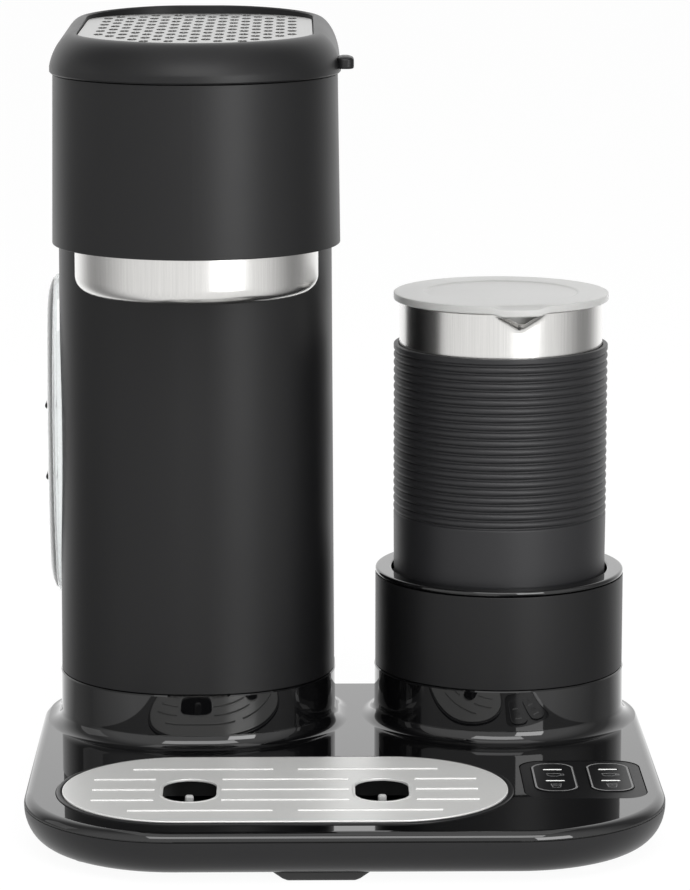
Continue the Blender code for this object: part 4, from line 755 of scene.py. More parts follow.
class CoffeeMachineSizes(bpy.types.PropertyGroup):
    corner_steps: count("Corner steps", "Faces round each rounded corner of the housing", 24)
    hole_radius: length("Perforation radius", "Half the width of the oval holes in the lid plate", 0.0020)
    hole_reach: length("Perforation reach", "Half the length of the oval holes", 0.0050)
    hole_spacing: length("Perforation spacing", "Distance between holes in one row", 0.0101)
    hole_row_spacing: length("Perforation row spacing", "Distance between rows of holes", 0.0089)
    hole_margin: length("Perforation margin", "Plain border of the lid plate", 0.0075)
    sleeve_rib_spacing: length("Sleeve rib spacing", "Distance between the sleeve's ribs", 0.0036)
    sleeve_rib_radius: length("Sleeve rib radius", "Radius of each rounded rib on the sleeve", 0.0017)
    sleeve_ribs: count("Sleeve ribs", "Number of ribs on the jug's sleeve", 20)
    tray_rib_radius: length("Tray rib radius", "Radius of the pressed ribs on the tray cover", 0.0013)
    tray_rib_height: length("Tray rib height", "How far the pressed ribs stand up", 0.0005)


class CoffeeMachineColours(bpy.types.PropertyGroup):
    matte_black: colour("Matte black", "Tower, head and lid", "#121213")
    gloss_black: colour("Gloss black", "Base top, pedestals and frother rim", "#0B0B0C")
    film_black: colour("Film black", "Control panel and its buttons", "#171718")
    satin_black: colour("Satin black", "Lower cover and inner parts", "#1B1B1C")
    rubber_black: colour("Rubber black", "Feet and gland", "#171717")
    silicone_black: colour("Silicone black", "Jug sleeve", "#1B1B1D")
    silicone_white: colour("Silicone white", "Seals and hoses", "#D6D5CF")
    steel: colour("Stainless steel", "Cup, jug and small steel parts", "#CDCCCA")
    plate_steel: colour("Plate steel", "Perforated lid plate", "#A6A6A5")
    blasted_steel: colour("Blasted steel", "Tray cover", "#E8E8E6")
    aluminium: colour("Cast aluminium", "Heater", "#A6A7A9")
    window: colour("Window", "Water window", "#F2F4F4")
    frosted: colour("Frosted plastic", "Jug lid and reservoir", "#D2D2D0")
    plastic_grey: colour("Grey plastic", "Pod holder and posts", "#B4B4B3")
    board_green: colour("Circuit board", "Solder mask", "#1F5A38")
    ferrite: colour("Ferrite", "Drive magnet", "#4A4A4C")
    lit_white: colour("Lit white", "Light pipes in the buttons", "#F2F2F0")
    ink_grey: colour("Ink grey", "Button outlines and symbols", "#8C8C8C")


def sizes():
    return bpy.context.scene.coffee_sizes


# Base ---------------------------------------------------------------------------------------


def lower_edge(thickness=0.0, steps=14):
    """The base's rounded-in lower edge from its underside to the seam, as (inset, z) pairs."""
    height = BASE_SEAM - BASE_UNDERSIDE
    profile = []
    for step in range(steps + 1):
        angle = math.radians(90 * step / steps)
        inset = BASE_LOWER_ROUNDING * (1 - math.sin(angle)) + thickness
        z = BASE_SEAM - height * math.cos(angle)
        profile.append((inset, min(z + thickness, BASE_SEAM)))
    return profile


def make_lower_cover():
    profile = lower_edge() + list(reversed(lower_edge(WALL)))
    cover = shape("satin_lower_cover", BASE.walk(profile, sizes().corner_steps))
    gland = centre_of("cord_gland")
    reach = Vector((0.0, 0.020, 0.0))
    cut(cover, rod(gland - reach, gland + reach, GLAND_RADIUS + FIT_GAP))
    fit(cover, "satin_abs", "root", "base_bottom_cover")


def pedestal_profile():
    """The pedestal's flared foot and upright side, as (outset, z) pairs."""
    foot = PEDESTAL_PROUD + PEDESTAL_FLARE
    profile = [(foot, BASE_TOP - COVER_THICKNESS + 0.0010)]
    for inwards, upwards in arc(PEDESTAL_FLARE, 12):
        profile.append((foot - upwards, BASE_TOP + inwards))
    profile.append((PEDESTAL_PROUD, PEDESTAL_TOP - EDGE_ROUNDING))
    profile.append((PEDESTAL_PROUD - EDGE_ROUNDING, PEDESTAL_TOP))
    return profile


def make_top_cover():
    steps = sizes().corner_steps
    seam, underside = BASE_SEAM + FIT_GAP, BASE_TOP - COVER_THICKNESS
    profile = [(WALL + 0.0020, underside), (WALL, seam), (0.0, seam), (0.0, seam + 0.0003)]
    start = BASE_TOP - BASE_TOP_ROUNDING + 0.0004
    for inwards, upwards in arc(BASE_TOP_ROUNDING, 10):
        profile.append((inwards, start + upwards * (BASE_TOP - start) / BASE_TOP_ROUNDING))
    cover = shape("polished_top_cover", BASE.walk(profile, steps))
    through = (underside - 0.0010, PEDESTAL_TOP + 0.0010)
    sleeve_radius = half_width("frother_sleeve")
    feet = (
        TOWER.walk([(-outset, z) for outset, z in pedestal_profile()], steps),
        turned(FROTHER, [(sleeve_radius + outset, z) for outset, z in pedestal_profile()]),
    )
    for loops in feet:
        foot = shape("pedestal", loops)
        change(foot, shape("limit", BASE.walk([(FIT_GAP, z) for z in through], steps)), "INTERSECT")
        change(cover, foot, "UNION")
    cut(cover, TOWER.walk([(PEDESTAL_WALL, z) for z in through], steps))
    cut(cover, turned(FROTHER, [(sleeve_radius - PEDESTAL_WALL, z) for z in through]))
    through = (underside - 0.0010, BASE_TOP + 0.0010)
    cut(cover, COVER.walk([(-TRAY_RIM_WIDTH - 2 * FIT_GAP, z) for z in through], steps))
    cut(cover, PANEL.walk([(-FIT_GAP, z) for z in (BASE_TOP - 0.0015, BASE_TOP + 0.0010)], 12))
    cut(cover, PANEL.walk([(0.0025, z) for z in through], 12))
    fit(cover, "polished_abs", "root", "base_top_cover", sharp=40.0)


def make_gland():
    low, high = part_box("cord_gland")
    centre = centre_of("cord_gland")
    front, back = Vector((centre.x, low.y, centre.z)), Vector((centre.x, high.y, centre.z))
    past = Vector((0.0, 0.010, 0.0))
    gland = shape("cord_gland_body", rod(front, back, GLAND_RADIUS, 64))
    cut(gland, rod(front - past, back + past, GLAND_BORE, 64))
    fit(gland, "moulded_rubber", "root", "cord_gland")


def make_round_foot(node):
    low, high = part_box(node)
    radius = half_width(node)
    profile = softened([(radius - 0.0030, low.z), (radius, low.z), (radius, high.z)], FOOT_ROUNDING)
    foot = shape(f"{node}_pad", turned(centre_of(node), profile, 64))
    fit(foot, "moulded_rubber", "root", node)


def make_centre_foot():
    low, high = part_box("foot_front_centre")
    reach = (high - low) / 2
    outline = centred_outline(low.x + reach.x, low.y + reach.y, 2 * reach.x, 2 * reach.y, 0.0030)
    loops = outline.walk([(0.0030, low.z), (0.0012, low.z), (0.0003, low.z + 0.0008), (0.0, high.z)], 8)
    for loop in loops:
        for point in loop:
            share = 1.0 - CENTRE_FOOT_TAPER / reach.x * (high.z - point.z) / (high.z - low.z)
            point.x = outline.x + (point.x - outline.x) * share
    foot = shape("foot_front_centre_pad", loops)
    fit(foot, "moulded_rubber", "root", "foot_front_centre")


def make_screw(node):
    """A pan-head screw with a cross recess, seen from below."""
    low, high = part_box(node)
    centre = centre_of(node)
    head, shank = half_width(node), SCREW_SHANK_RADIUS
    under_head = BASE_UNDERSIDE - FIT_GAP
    profile = [(0.0010, low.z), (head * 0.8, low.z + 0.0002), (head, low.z + 0.0009), (head, under_head)]
    profile += [(shank, under_head), (shank, high.z)]
    screw = shape(f"{node}_steel", turned(centre, profile, 40))
    for x, y in ((0.0018, 0.0004), (0.0004, 0.0018)):
        span = (centre.x - x, centre.x + x), (centre.y - y, centre.y + y)
        cut(screw, box_loops(*span, (low.z - 0.0010, low.z + 0.0010)))
    fit(screw, "turned_steel", "root", node)


# Control panel ------------------------------------------------------------------------------


def button_outline(node):
    """The button's visible top, which is the node without its flange."""
    return outline_of(node, BUTTON_RADIUS + BUTTON_FLANGE).grown(-BUTTON_FLANGE)


def make_panel():
    low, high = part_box("control_panel")
    profile = softened([(0.0, low.z), (0.0, high.z), (0.0020, high.z)], 0.0003)
    panel = shape("polished_panel", PANEL.walk(profile, 16))
    for drink in ("coffee", "milk"):
        outline = button_outline(f"button_{drink}")
        cut(panel, outline.walk([(-FIT_GAP, low.z - 0.001), (-FIT_GAP, high.z + 0.001)], 16))
    fit(panel, "anti_glare_film", "root", "control_panel")


def paint_faces(thing, finish, chosen):
    """Gives the finish to each face whose middle the test picks."""
    thing.data.materials.append(material(finish))
    for face in thing.data.polygons:
        if chosen(face.center):
            face.material_index = len(thing.data.materials) - 1


def ring_distance(outline, point):
    """How far inside the outline's edge the point lies."""
    radius = outline.front_radius
    x = max(abs(point.x - outline.x) - (outline.half_width - radius), 0.0)
    y = max(abs(point.y - outline.y) - ((outline.back - outline.front) / 2 - radius), 0.0)
    return radius - math.hypot(x, y)


def make_button(drink):
    node = f"button_{drink}"
    outline = button_outline(node)
    low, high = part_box(node)
    flange_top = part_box("control_panel")[0].z - FIT_GAP
    profile = [(-BUTTON_FLANGE, flange_top - 0.0010), (-BUTTON_FLANGE, flange_top), (0.0, flange_top)]
    profile += [(0.0, high.z - 0.0002), (0.0002, high.z)]
    profile += [(0.0004, high.z), (0.0004 + BUTTON_OUTLINE, high.z)]
    button = shape(f"{node}_key", outline.walk(profile, 16))
    stem = centred_outline(outline.x, outline.y, BUTTON_STEM_WIDTH, BUTTON_STEM_WIDTH, 0.0)
    across, along = (stem.x - stem.half_width, stem.x + stem.half_width), (stem.front, stem.back)
    join(button, box_loops(across, along, (low.z, flange_top - 0.0006)))
    for place in ("upper", "lower"):
        bar_low, bar_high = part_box(f"light_bar_{drink}_{place}")
        across = bar_low.x - FIT_GAP, bar_high.x + FIT_GAP
        along = bar_low.y - FIT_GAP, bar_high.y + FIT_GAP
        cut(button, box_loops(across, along, (bar_low.z - FIT_GAP, bar_high.z + 0.001)))
    button.data.materials.clear()
    button.data.materials.append(material("anti_glare_film"))

    def printed(centre):
        inside = ring_distance(outline, centre)
        return abs(centre.z - high.z) < 0.00002 and 0.0003 < inside < 0.0005 + BUTTON_OUTLINE

    paint_faces(button, "screen_ink", printed)
    fit(button, "anti_glare_film", node, node)
    for place in ("upper", "lower"):
        make_light_bar(drink, place)
    make_symbols(drink, outline, high.z)


def make_light_bar(drink, place):
    low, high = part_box(f"light_bar_{drink}_{place}")
    outline = Outline(low, high, 0.0005, 0.0005)
    profile = softened([(0.0, low.z), (0.0, high.z), (0.0004, high.z)], 0.0002)
    bar = shape(f"light_pipe_{drink}_{place}", outline.walk(profile, 6))
    fit(bar, "lit_acrylic", f"button_{drink}", f"light_bar_{drink}_{place}")


def strip(points, width, z, closed=False):
    """A printed line through the points."""
    left, right = [], []
    total = len(points)
    for index, point in enumerate(points):
        before = points[index - 1] if closed or index else point
        after = points[(index + 1) % total] if closed or index < total - 1 else point
        along = (Vector(after) - Vector(before)).normalized()
        across = Vector((-along.y, along.x)) * width / 2
        left.append(Vector(point) + across)
        right.append(Vector(point) - across)
    loops = []
    for a, b in zip(left, right):
        corners = (*a, z), (*a, z + INK_THICKNESS), (*b, z + INK_THICKNESS), (*b, z)
        loops.append([Vector(corner) for corner in corners])
    return shape("printed_line", loops, closed)


def make_symbols(drink, outline, z):
    """A plain cup under the upper light bar and a plain glass under the lower one."""
    middle = Vector((outline.x, outline.y))
    cup = middle + Vector((0.0, CUP_SYMBOL_SHIFT))
    glass = middle + Vector((0.0, GLASS_SYMBOL_SHIFT))
    body = [(-0.0030, 0.0018), (-0.0026, -0.0012), (-0.0012, -0.0022), (0.0012, -0.0022)]
    body += [(0.0026, -0.0012), (0.0030, 0.0018)]
    handle = [(0.0029, 0.0010), (0.0042, 0.0008), (0.0042, -0.0006), (0.0026, -0.0010)]
    tumbler = [(-0.0022, 0.0026), (-0.0016, -0.0024), (0.0016, -0.0024), (0.0022, 0.0026)]
    level = [(-0.0019, 0.0006), (0.0019, 0.0006)]
    symbol = printed_line(cup, body, z, closed=True)
    symbol.name = f"printed_{drink}_symbols"
    lines = [printed_line(cup, handle, z), printed_line(glass, tumbler, z, closed=True)]
    gather(symbol, [*lines, printed_line(glass, level, z)])
    fit(symbol, "screen_ink", f"button_{drink}")


def printed_line(place, points, z, closed=False):
    return strip([place + Vector(point) for point in points], SYMBOL_LINE, z, closed)


# Drip tray ----------------------------------------------------------------------------------


def make_tray():
    low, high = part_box("drip_tray")
    cover_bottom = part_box("drip_tray_cover")[0].z
    outset = TRAY_RIM_WIDTH + FIT_GAP
    underside = BASE_TOP - COVER_THICKNESS
    floor_top = low.z + TRAY_FLOOR_THICKNESS
    taper = TRAY_TAPER - outset
    profile = [
        (taper + 0.0100, low.z),
        (taper, low.z),
        (0.0, underside - 0.0020),
        (-outset, underside),
        (-outset, high.z),
        (-FIT_GAP, high.z),
        (-FIT_GAP, cover_bottom - FIT_GAP),
        (TRAY_LEDGE_WIDTH, cover_bottom - FIT_GAP),
        (TRAY_LEDGE_WIDTH, underside - 0.0030),
        (taper + 0.0020, floor_top),
        (taper + 0.0120, floor_top),
    ]
    tray = shape("satin_tray", COVER.walk(softened(profile, 0.0006), sizes().corner_steps * 2))
    fit(tray, "satin_abs", "drip_tray", "drip_tray")


def make_post(node):
    low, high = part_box(node)
    outline = Outline(low, high, (high.y - low.y) / 2, (high.y - low.y) / 2)
    top = high.z + POST_TIP
    profile = [(0.0, low.z)]
    for inwards, upwards in arc(0.0011, 6):
        profile.append((inwards, top - 0.0011 + upwards))
    post = shape(f"{node}_stem", outline.walk(profile, 8))
    fit(post, "grey_abs", "drip_tray", node)


def finger_holes():
    """The outlines of the two holes that a finger lifts the cover by, over the two posts."""
    for post in ("cover_post_left", "cover_post_right"):
        x = centre_of(post).x
        yield centred_outline(x, COVER.y + HOLE_SHIFT, HOLE_WIDTH, HOLE_LENGTH, HOLE_WIDTH / 2)


def rib_lines():
    """The start and end of each pressed rib, row by row."""
    centre = centre_of("drip_tray_cover")
    for row in range(RIB_ROWS):
        y = centre.y + RIB_ROW_SHIFT + (row - (RIB_ROWS - 1) / 2) * RIB_ROW_PITCH
        if row in (0, RIB_ROWS - 1):
            spans = [(-OUTER_ROW_RIB[1], -OUTER_ROW_RIB[0]), OUTER_ROW_RIB]
        else:
            spans = [(-SIDE_RIB[1], -SIDE_RIB[0]), CENTRE_RIB, SIDE_RIB]
        for start, end in spans:
            yield (centre.x + start, y), (centre.x + end, y)


def make_tray_cover():
    low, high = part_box("drip_tray_cover")
    profile = softened([(0.0, low.z), (0.0, high.z), (0.0020, high.z)], 0.0005)
    cover = shape("steel_tray_cover", COVER.walk(profile, sizes().corner_steps * 2))
    for hole in finger_holes():
        cut(cover, hole.walk([(0.0, low.z - 0.002), (0.0, high.z + 0.002)], 24))
    fit(cover, "steel_bead_blasted", "tray_cover", "drip_tray_cover")
    for side, hole in zip(("left", "right"), finger_holes()):
        crest = high.z + HOLE_LIP_HEIGHT
        lip = [(0.0001, low.z), (0.0001, crest), (-HOLE_LIP_WIDTH, crest)]
        lip += [(-HOLE_LIP_WIDTH - 0.0004, high.z - 0.0002)]
        loops = hole.walk(softened(lip, 0.0003, closed=True), 24)
        ring = shape(f"finger_hole_lip_{side}", loops, closed=True)
        fit(ring, "steel_bead_blasted", "tray_cover")
    height = high.z + sizes().tray_rib_height - sizes().tray_rib_radius
    points, edges = [], []
    for start, end in rib_lines():
        edges.append((len(points), len(points) + 1))
        points += [(*start, height), (*end, height)]
    ribs = guide("pressed_tray_ribs", points, edges)
    values = {"Rib Radius": sizes().tray_rib_radius, "Finish": material("steel_bead_blasted")}
    run_tree(ribs, pressed_rib_tree(), values)
    fit(ribs, "steel_bead_blasted", "tray_cover")


# Tower --------------------------------------------------------------------------------------


def window_loop(x, inset=0.0):
    """An upright oval round the window's middle, seen from the left, at the given x."""
    low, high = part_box("window_lens")
    middle = centre_of("window_lens")
    half_depth = (high.y - low.y) / 2 + FIT_GAP - inset
    half_height = (high.z - low.z) / 2 + FIT_GAP - inset
    points = []
    for side in range(WINDOW_SIDES):
        angle = 2 * math.pi * side / WINDOW_SIDES
        points.append(
            Vector((x, middle.y - half_depth * math.cos(angle), middle.z + half_height * math.sin(angle)))
        )
    return points


def make_tower_casing():
    low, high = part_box("tower_shell")
    casing = drafted_casing("tower_casing", TOWER, low.z, high.z, TOWER_DRAFT)
    cut(casing, [window_loop(low.x - 0.01), window_loop(low.x + 0.02)])
    cup_radius = half_width("spout_cup") - CUP_FLANGE_WIDTH
    cup_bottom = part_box("spout_cup")[0].z - FIT_GAP
    cut(casing, turned(BREW, [(cup_radius + FIT_GAP, z) for z in (cup_bottom, high.z + 0.001)]))
    fit(casing, "spark_eroded_abs", "root", "tower_shell")


def make_window():
    low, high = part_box("window_lens")
    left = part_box("tower_shell")[0].x
    loops = []
    for thickness in (WINDOW_WALL, 0.0):
        skin = [window_loop(high.x, FIT_GAP + thickness)]
        for inwards, upwards in arc(1.0, 14):
            x = left - (WINDOW_BULGE - thickness) * upwards
            skin.append(window_loop(x, FIT_GAP + thickness + WINDOW_CROWN * inwards))
        loops += skin if loops else reversed(skin)
    lens = shape("clear_window", loops)
    fit(lens, "clear_polycarbonate", "root", "window_lens")
    reach = Vector((0.0, LEVEL_MARK_LENGTH / 2, 0.0))
    for number, z in enumerate(LEVEL_MARKS, 1):
        centre = Vector((low.x + 0.0002, centre_of("window_lens").y, z))
        mark = shape(f"level_mark_{number}", rod(centre - reach, centre + reach, LEVEL_MARK_RADIUS))
        fit(mark, "satin_abs", "root")


def make_reservoir():
    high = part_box("water_reservoir")[1]
    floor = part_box("tower_frame")[1].z + FIT_GAP
    wall = RESERVOIR_WALL
    profile = [(0.0100, floor), (0.0, floor), (0.0, high.z), (wall, high.z), (wall, floor + wall)]
    profile += [(0.0100, floor + wall)]
    tank = shape("frosted_reservoir", RESERVOIR.walk(softened(profile, 0.0008), 16))
    fit(tank, "frosted_copolyester", "root", "water_reservoir")


# Head ---------------------------------------------------------------------------------------


def hinge_rod(x_start, x_end, radius):
    middle = centre_of("lid_hinge_pin")
    return rod((x_start, middle.y, middle.z), (x_end, middle.y, middle.z), radius)


def make_head_casing():
    bottom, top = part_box("head_floor")[0].z, HEAD_TOP - FIT_GAP
    casing = drafted_casing("head_casing", HEAD, bottom, top, HEAD_DRAFT)
    hinge = centre_of("lid_hinge_pin")
    for side in (-1, 1):
        outer = HEAD.x + side * HINGE_LENGTH / 2
        inner = outer - side * HINGE_KNUCKLE_LENGTH
        start, end = min(outer, inner), max(outer, inner)
        join(casing, hinge_rod(start, end, HINGE_BARREL_RADIUS))
        web = (start + 0.0001, end - 0.0001), (HEAD.back - 0.0020, hinge.y)
        join(casing, box_loops(*web, (hinge.z - 0.0080, hinge.z - 0.0018)))
    cut(casing, hinge_rod(HEAD.x - HINGE_LENGTH, HEAD.x + HINGE_LENGTH, HINGE_BORE_RADIUS))
    fit(casing, "spark_eroded_abs", "root", "head_shell")


def make_head_plate(node, name, inset, hole_radius, hole_margin):
    """The head's floor or deck: a plate with round holes for the cup and riser, and one for the tank."""
    low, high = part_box(node)
    profile = [(inset + 0.002, low.z), (inset, low.z), (inset, high.z), (inset + 0.002, high.z)]
    plate = shape(name, HEAD.walk(softened(profile, 0.0003), 2 * sizes().corner_steps))
    through = (low.z - 0.002, high.z + 0.002)
    cut(plate, turned(BREW, [(hole_radius, z) for z in through]))
    cut(plate, RESERVOIR.walk([(-hole_margin, z) for z in through], 16))
    riser_hole = [(half_width("riser_tube") + SLIDE_GAP, z) for z in through]
    cut(plate, turned(centre_of("riser_tube"), riser_hole, SMALL_SIDES))
    fit(plate, "satin_abs", "root", node)


def make_hinge_pin():
    low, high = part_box("lid_hinge_pin")
    pin = shape("hinge_pin_steel", hinge_rod(low.x, high.x, (high.z - low.z) / 2))
    fit(pin, "turned_steel", "root", "lid_hinge_pin")


def make_cup():
    """The steel cup: a rolled lower edge, an upright side and a flange that hangs on the head floor."""
    low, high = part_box("spout_cup")
    flange = half_width("spout_cup")
    radius = flange - CUP_FLANGE_WIDTH
    inner = radius - SHEET
    profile = [(CUP_MOUTH_RADIUS, low.z)]
    for inwards, upwards in reversed(list(arc(CUP_EDGE_RADIUS, 14))):
        profile.append((radius - inwards, low.z + CUP_EDGE_RADIUS - upwards))
    profile += [(radius, high.z - SHEET), (flange, high.z - SHEET), (flange, high.z), (inner, high.z)]
    for inwards, upwards in arc(CUP_EDGE_RADIUS - SHEET, 10):
        profile.append((inner - inwards, low.z + CUP_EDGE_RADIUS - upwards))
    profile.append((CUP_MOUTH_RADIUS, low.z + SHEET))
    cup = shape("steel_spout_cup", turned(BREW, profile, 2 * ROUND_SIDES), closed=True)
    fit(cup, "steel_brushed_upright", "root", "spout_cup")


def make_chamber():
    low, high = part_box("brew_chamber")
    flange = half_width("brew_chamber")
    radius = flange - CUP_FLANGE_WIDTH - SHEET - SLIDE_GAP
    inner = radius - CHAMBER_WALL
    profile = [
        (CHAMBER_NOZZLE_RADIUS, low.z),
        (CHAMBER_NOZZLE_RADIUS, CHAMBER_FLOOR - CHAMBER_WALL),
        (radius, CHAMBER_FLOOR + 0.0060),
        (radius, high.z - 0.0020),
        (flange, high.z - 0.0020),
        (flange, high.z),
        (inner, high.z),
        (inner, CHAMBER_FLOOR + 0.0070),
        (CHAMBER_BORE_RADIUS, CHAMBER_FLOOR),
        (CHAMBER_BORE_RADIUS, low.z),
    ]
    chamber = turned_ring("brew_chamber_funnel", BREW, profile, 0.0005)
    fit(chamber, "satin_abs", "root", "brew_chamber")


def make_basket():
    low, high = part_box("brew_basket")
    rim = half_width("brew_basket")
    radius = rim - BASKET_RIM_WIDTH
    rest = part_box("brew_chamber")[1].z + FIT_GAP
    profile = [
        (BASKET_DRAIN_RADIUS, low.z),
        (radius, low.z),
        (radius, rest),
        (rim, rest),
        (rim, rest + BASKET_WALL),
        (radius, rest + 2 * BASKET_WALL),
        (radius, high.z),
        (radius - BASKET_WALL, high.z),
        (radius - BASKET_WALL, low.z + BASKET_WALL),
        (BASKET_DRAIN_RADIUS, low.z + BASKET_WALL),
    ]
    basket = turned_ring("brew_basket_body", BREW, profile, 0.0005)
    fit(basket, "satin_abs", "root", "brew_basket")


def make_pod_holder():
    low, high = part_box("pod_holder")
    rim = half_width("pod_holder")
    inner = POD_HOLDER_RADIUS - POD_HOLDER_WALL
    drain = NEEDLE_RADIUS + FIT_GAP
    profile = [
        (drain, low.z),
        (POD_HOLDER_RADIUS - 0.0030, low.z),
        (POD_HOLDER_RADIUS, high.z - POD_HOLDER_WALL),
        (rim, high.z - POD_HOLDER_WALL),
        (rim, high.z),
        (inner, high.z),
        (inner - 0.0030, low.z + POD_HOLDER_WALL),
        (drain, low.z + POD_HOLDER_WALL),
    ]
    holder = turned_ring("pod_holder_cup", BREW, profile, 0.0005)
    fit(holder, "grey_abs", "root", "pod_holder")


def make_needle(node, body, tip_up):
    low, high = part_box(node)
    radius = half_width(node)
    if tip_up:
        profile = [(radius, low.z), (radius, high.z - 0.0040), (0.0003, high.z)]
    else:
        profile = [(0.0003, low.z), (radius, low.z + 0.0040), (radius, high.z)]
    needle = shape(f"{node}_steel", turned(BREW, profile, 40))
    fit(needle, "turned_steel", body, node)


# Lid ----------------------------------------------------------------------------------------


def crest_loop(inset, drop, steps):
    """The lid's top rim, which rises from the front to the back."""
    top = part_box("lid_shell")[1].z
    points = GRILLE.loop(0.0, inset, steps)
    for point in points:
        share = min(max((point.y - GRILLE.front) / (GRILLE.back - GRILLE.front), 0.0), 1.0)
        sag = LID_CREST_ARCH * share * ((point.x - HEAD.x) / GRILLE.half_width) ** 2
        point.z = LID_CREST_FRONT + (top - LID_CREST_FRONT) * share - sag - drop
    return points


def lid_inside(share, gap, steps):
    """The lid's hollow between its mouth and its ceiling, drawn in by a gap."""
    mouth = LID.loop(HEAD_TOP, WALL + gap, steps)
    ceiling_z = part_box("lid_grille")[1].z - LID_CEILING_DEPTH
    ceiling = GRILLE.loop(ceiling_z - gap, 0.0020 + gap, steps)
    return blended(mouth, ceiling, share)


def make_lid():
    steps = 2 * sizes().corner_steps
    grille_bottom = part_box("lid_grille")[0].z
    rim = crest_loop(-LID_RIM_WIDTH, 0.0, steps)
    foot = LID.loop(HEAD_TOP + LID_STRAIGHT, 0.0, steps)
    loops = [lid_inside(1.0, 0.0, steps), lid_inside(0.0, 0.0, steps)]
    loops += [LID.loop(HEAD_TOP, 0.0006, steps), LID.loop(HEAD_TOP + 0.0006, 0.0, steps)]
    for inwards, upwards in arc(1.0, 18):
        ring = blended(foot, rim, LID_FULLNESS * inwards + (1 - LID_FULLNESS) * upwards)
        for point, low, high in zip(ring, foot, rim):
            point.z = low.z + (high.z - low.z) * upwards
        loops.append(ring)
    loops.append(crest_loop(-LID_RIM_WIDTH + 0.0006, 0.0, steps))
    loops.append(crest_loop(-FIT_GAP, 0.0005, steps))
    loops.append(GRILLE.loop(grille_bottom - FIT_GAP, -FIT_GAP, steps))
    lid = shape("lid_casing", loops)
    edge = LID.x + LID.half_width
    tab = centred_outline(edge - 0.001 + TAB_REACH / 2, TAB_Y, TAB_REACH + 0.002, TAB_LENGTH, 0.0030)
    profile = [(0.0030, TAB_BOTTOM), (0.0, TAB_BOTTOM), (0.0, TAB_BOTTOM + 0.0044)]
    profile += [(0.0024, TAB_BOTTOM + TAB_HEIGHT), (0.0030, TAB_BOTTOM + TAB_HEIGHT)]
    join(lid, tab.walk(softened(profile, 0.0010), 12))
    hinge = centre_of("lid_hinge_pin")
    reach = HINGE_LENGTH / 2 - HINGE_KNUCKLE_LENGTH - FIT_GAP
    join(lid, hinge_rod(HEAD.x - reach, HEAD.x + reach, HINGE_BARREL_RADIUS))
    web = (HEAD.x - reach + 0.0001, HEAD.x + reach - 0.0001), (LID.back - 0.0016, hinge.y)
    join(lid, box_loops(*web, (HEAD_TOP + 0.0004, hinge.z + 0.0022)))
    cut(lid, hinge_rod(HEAD.x - HINGE_LENGTH, HEAD.x + HINGE_LENGTH, HINGE_BORE_RADIUS))
    fit(lid, "spark_eroded_abs", "lid", "lid_shell")


def hole_centres():
    """The middles of the lid plate's holes: rows from front to back, each shifted by half a space."""
    look = sizes()
    field = GRILLE.grown(-look.hole_margin)
    rows = int((field.back - field.front) / look.hole_row_spacing / 2)
    columns = int(field.half_width / look.hole_spacing) + 1
    for row in range(-rows, rows + 1):
        y = GRILLE.y + row * look.hole_row_spacing
        for column in range(-columns, columns + 1):
            x = GRILLE.x + (column + 0.5 * (row % 2)) * look.hole_spacing
            if inside(field, x, y):
                yield x, y


def inside(outline, x, y):
    """True where the point lies within the outline."""
    half = outline.half_width
    if abs(x - outline.x) > half or not outline.front < y < outline.back:
        return False
    if y < outline.front + outline.front_radius:
        radius, centre_y = outline.front_radius, outline.front + outline.front_radius
    elif y > outline.back - outline.back_radius:
        radius, centre_y = outline.back_radius, outline.back - outline.back_radius
    else:
        return True
    off = max(abs(x - outline.x) - (half - radius), 0.0)
    return math.hypot(off, y - centre_y) < radius


def make_lid_plate():
    low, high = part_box("lid_grille")
    profile = [(0.0, low.z), (0.0, high.z - 0.0003), (0.0003, high.z)]
    plate = shape("lid_plate_blank", GRILLE.walk(profile, 2 * sizes().corner_steps))
    middle = (low.z + high.z) / 2
    holes = guide("perforated_lid_plate", [(x, y, middle) for x, y in hole_centres()])
    values = {
        "Plate": plate,
        "Hole Radius": sizes().hole_radius,
        "Hole Shape": (1.0, sizes().hole_reach / sizes().hole_radius, 1.0),
        "Depth": 4 * (high.z - low.z),
        "Sides": 24,
        "Finish": material("steel_brushed_lengthwise"),
    }
    run_tree(holes, perforation_tree(), values)
    bpy.data.objects.remove(plate, do_unlink=True)
    fit(holes, "steel_brushed_lengthwise", "lid", "lid_grille")


def make_lid_liner():
    steps = 2 * sizes().corner_steps
    boss_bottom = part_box("lid_liner")[0].z
    loops = [lid_inside(share, SLIDE_GAP, steps) for share in LINER_SHARES]
    liner = shape("lid_liner_panel", loops)
    profile = [(LINER_BOSS_RADIUS - 0.0060, boss_bottom), (LINER_BOSS_RADIUS - 0.0020, boss_bottom)]
    profile += [(LINER_BOSS_RADIUS, HEAD_TOP + 0.0014)]
    join(liner, turned(BREW, softened(profile, 0.0010)))
    fit(liner, "satin_abs", "lid", "lid_liner")
    low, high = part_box("pod_seal")
    outer = half_width("pod_seal")
    profile = [(outer, low.z), (outer, high.z), (outer - SEAL_WIDTH, high.z), (outer - SEAL_WIDTH, low.z)]
    seal = turned_ring("pod_seal_ring", BREW, profile, 0.0006)
    fit(seal, "white_silicone", "lid", "pod_seal")


# Milk frother -------------------------------------------------------------------------------


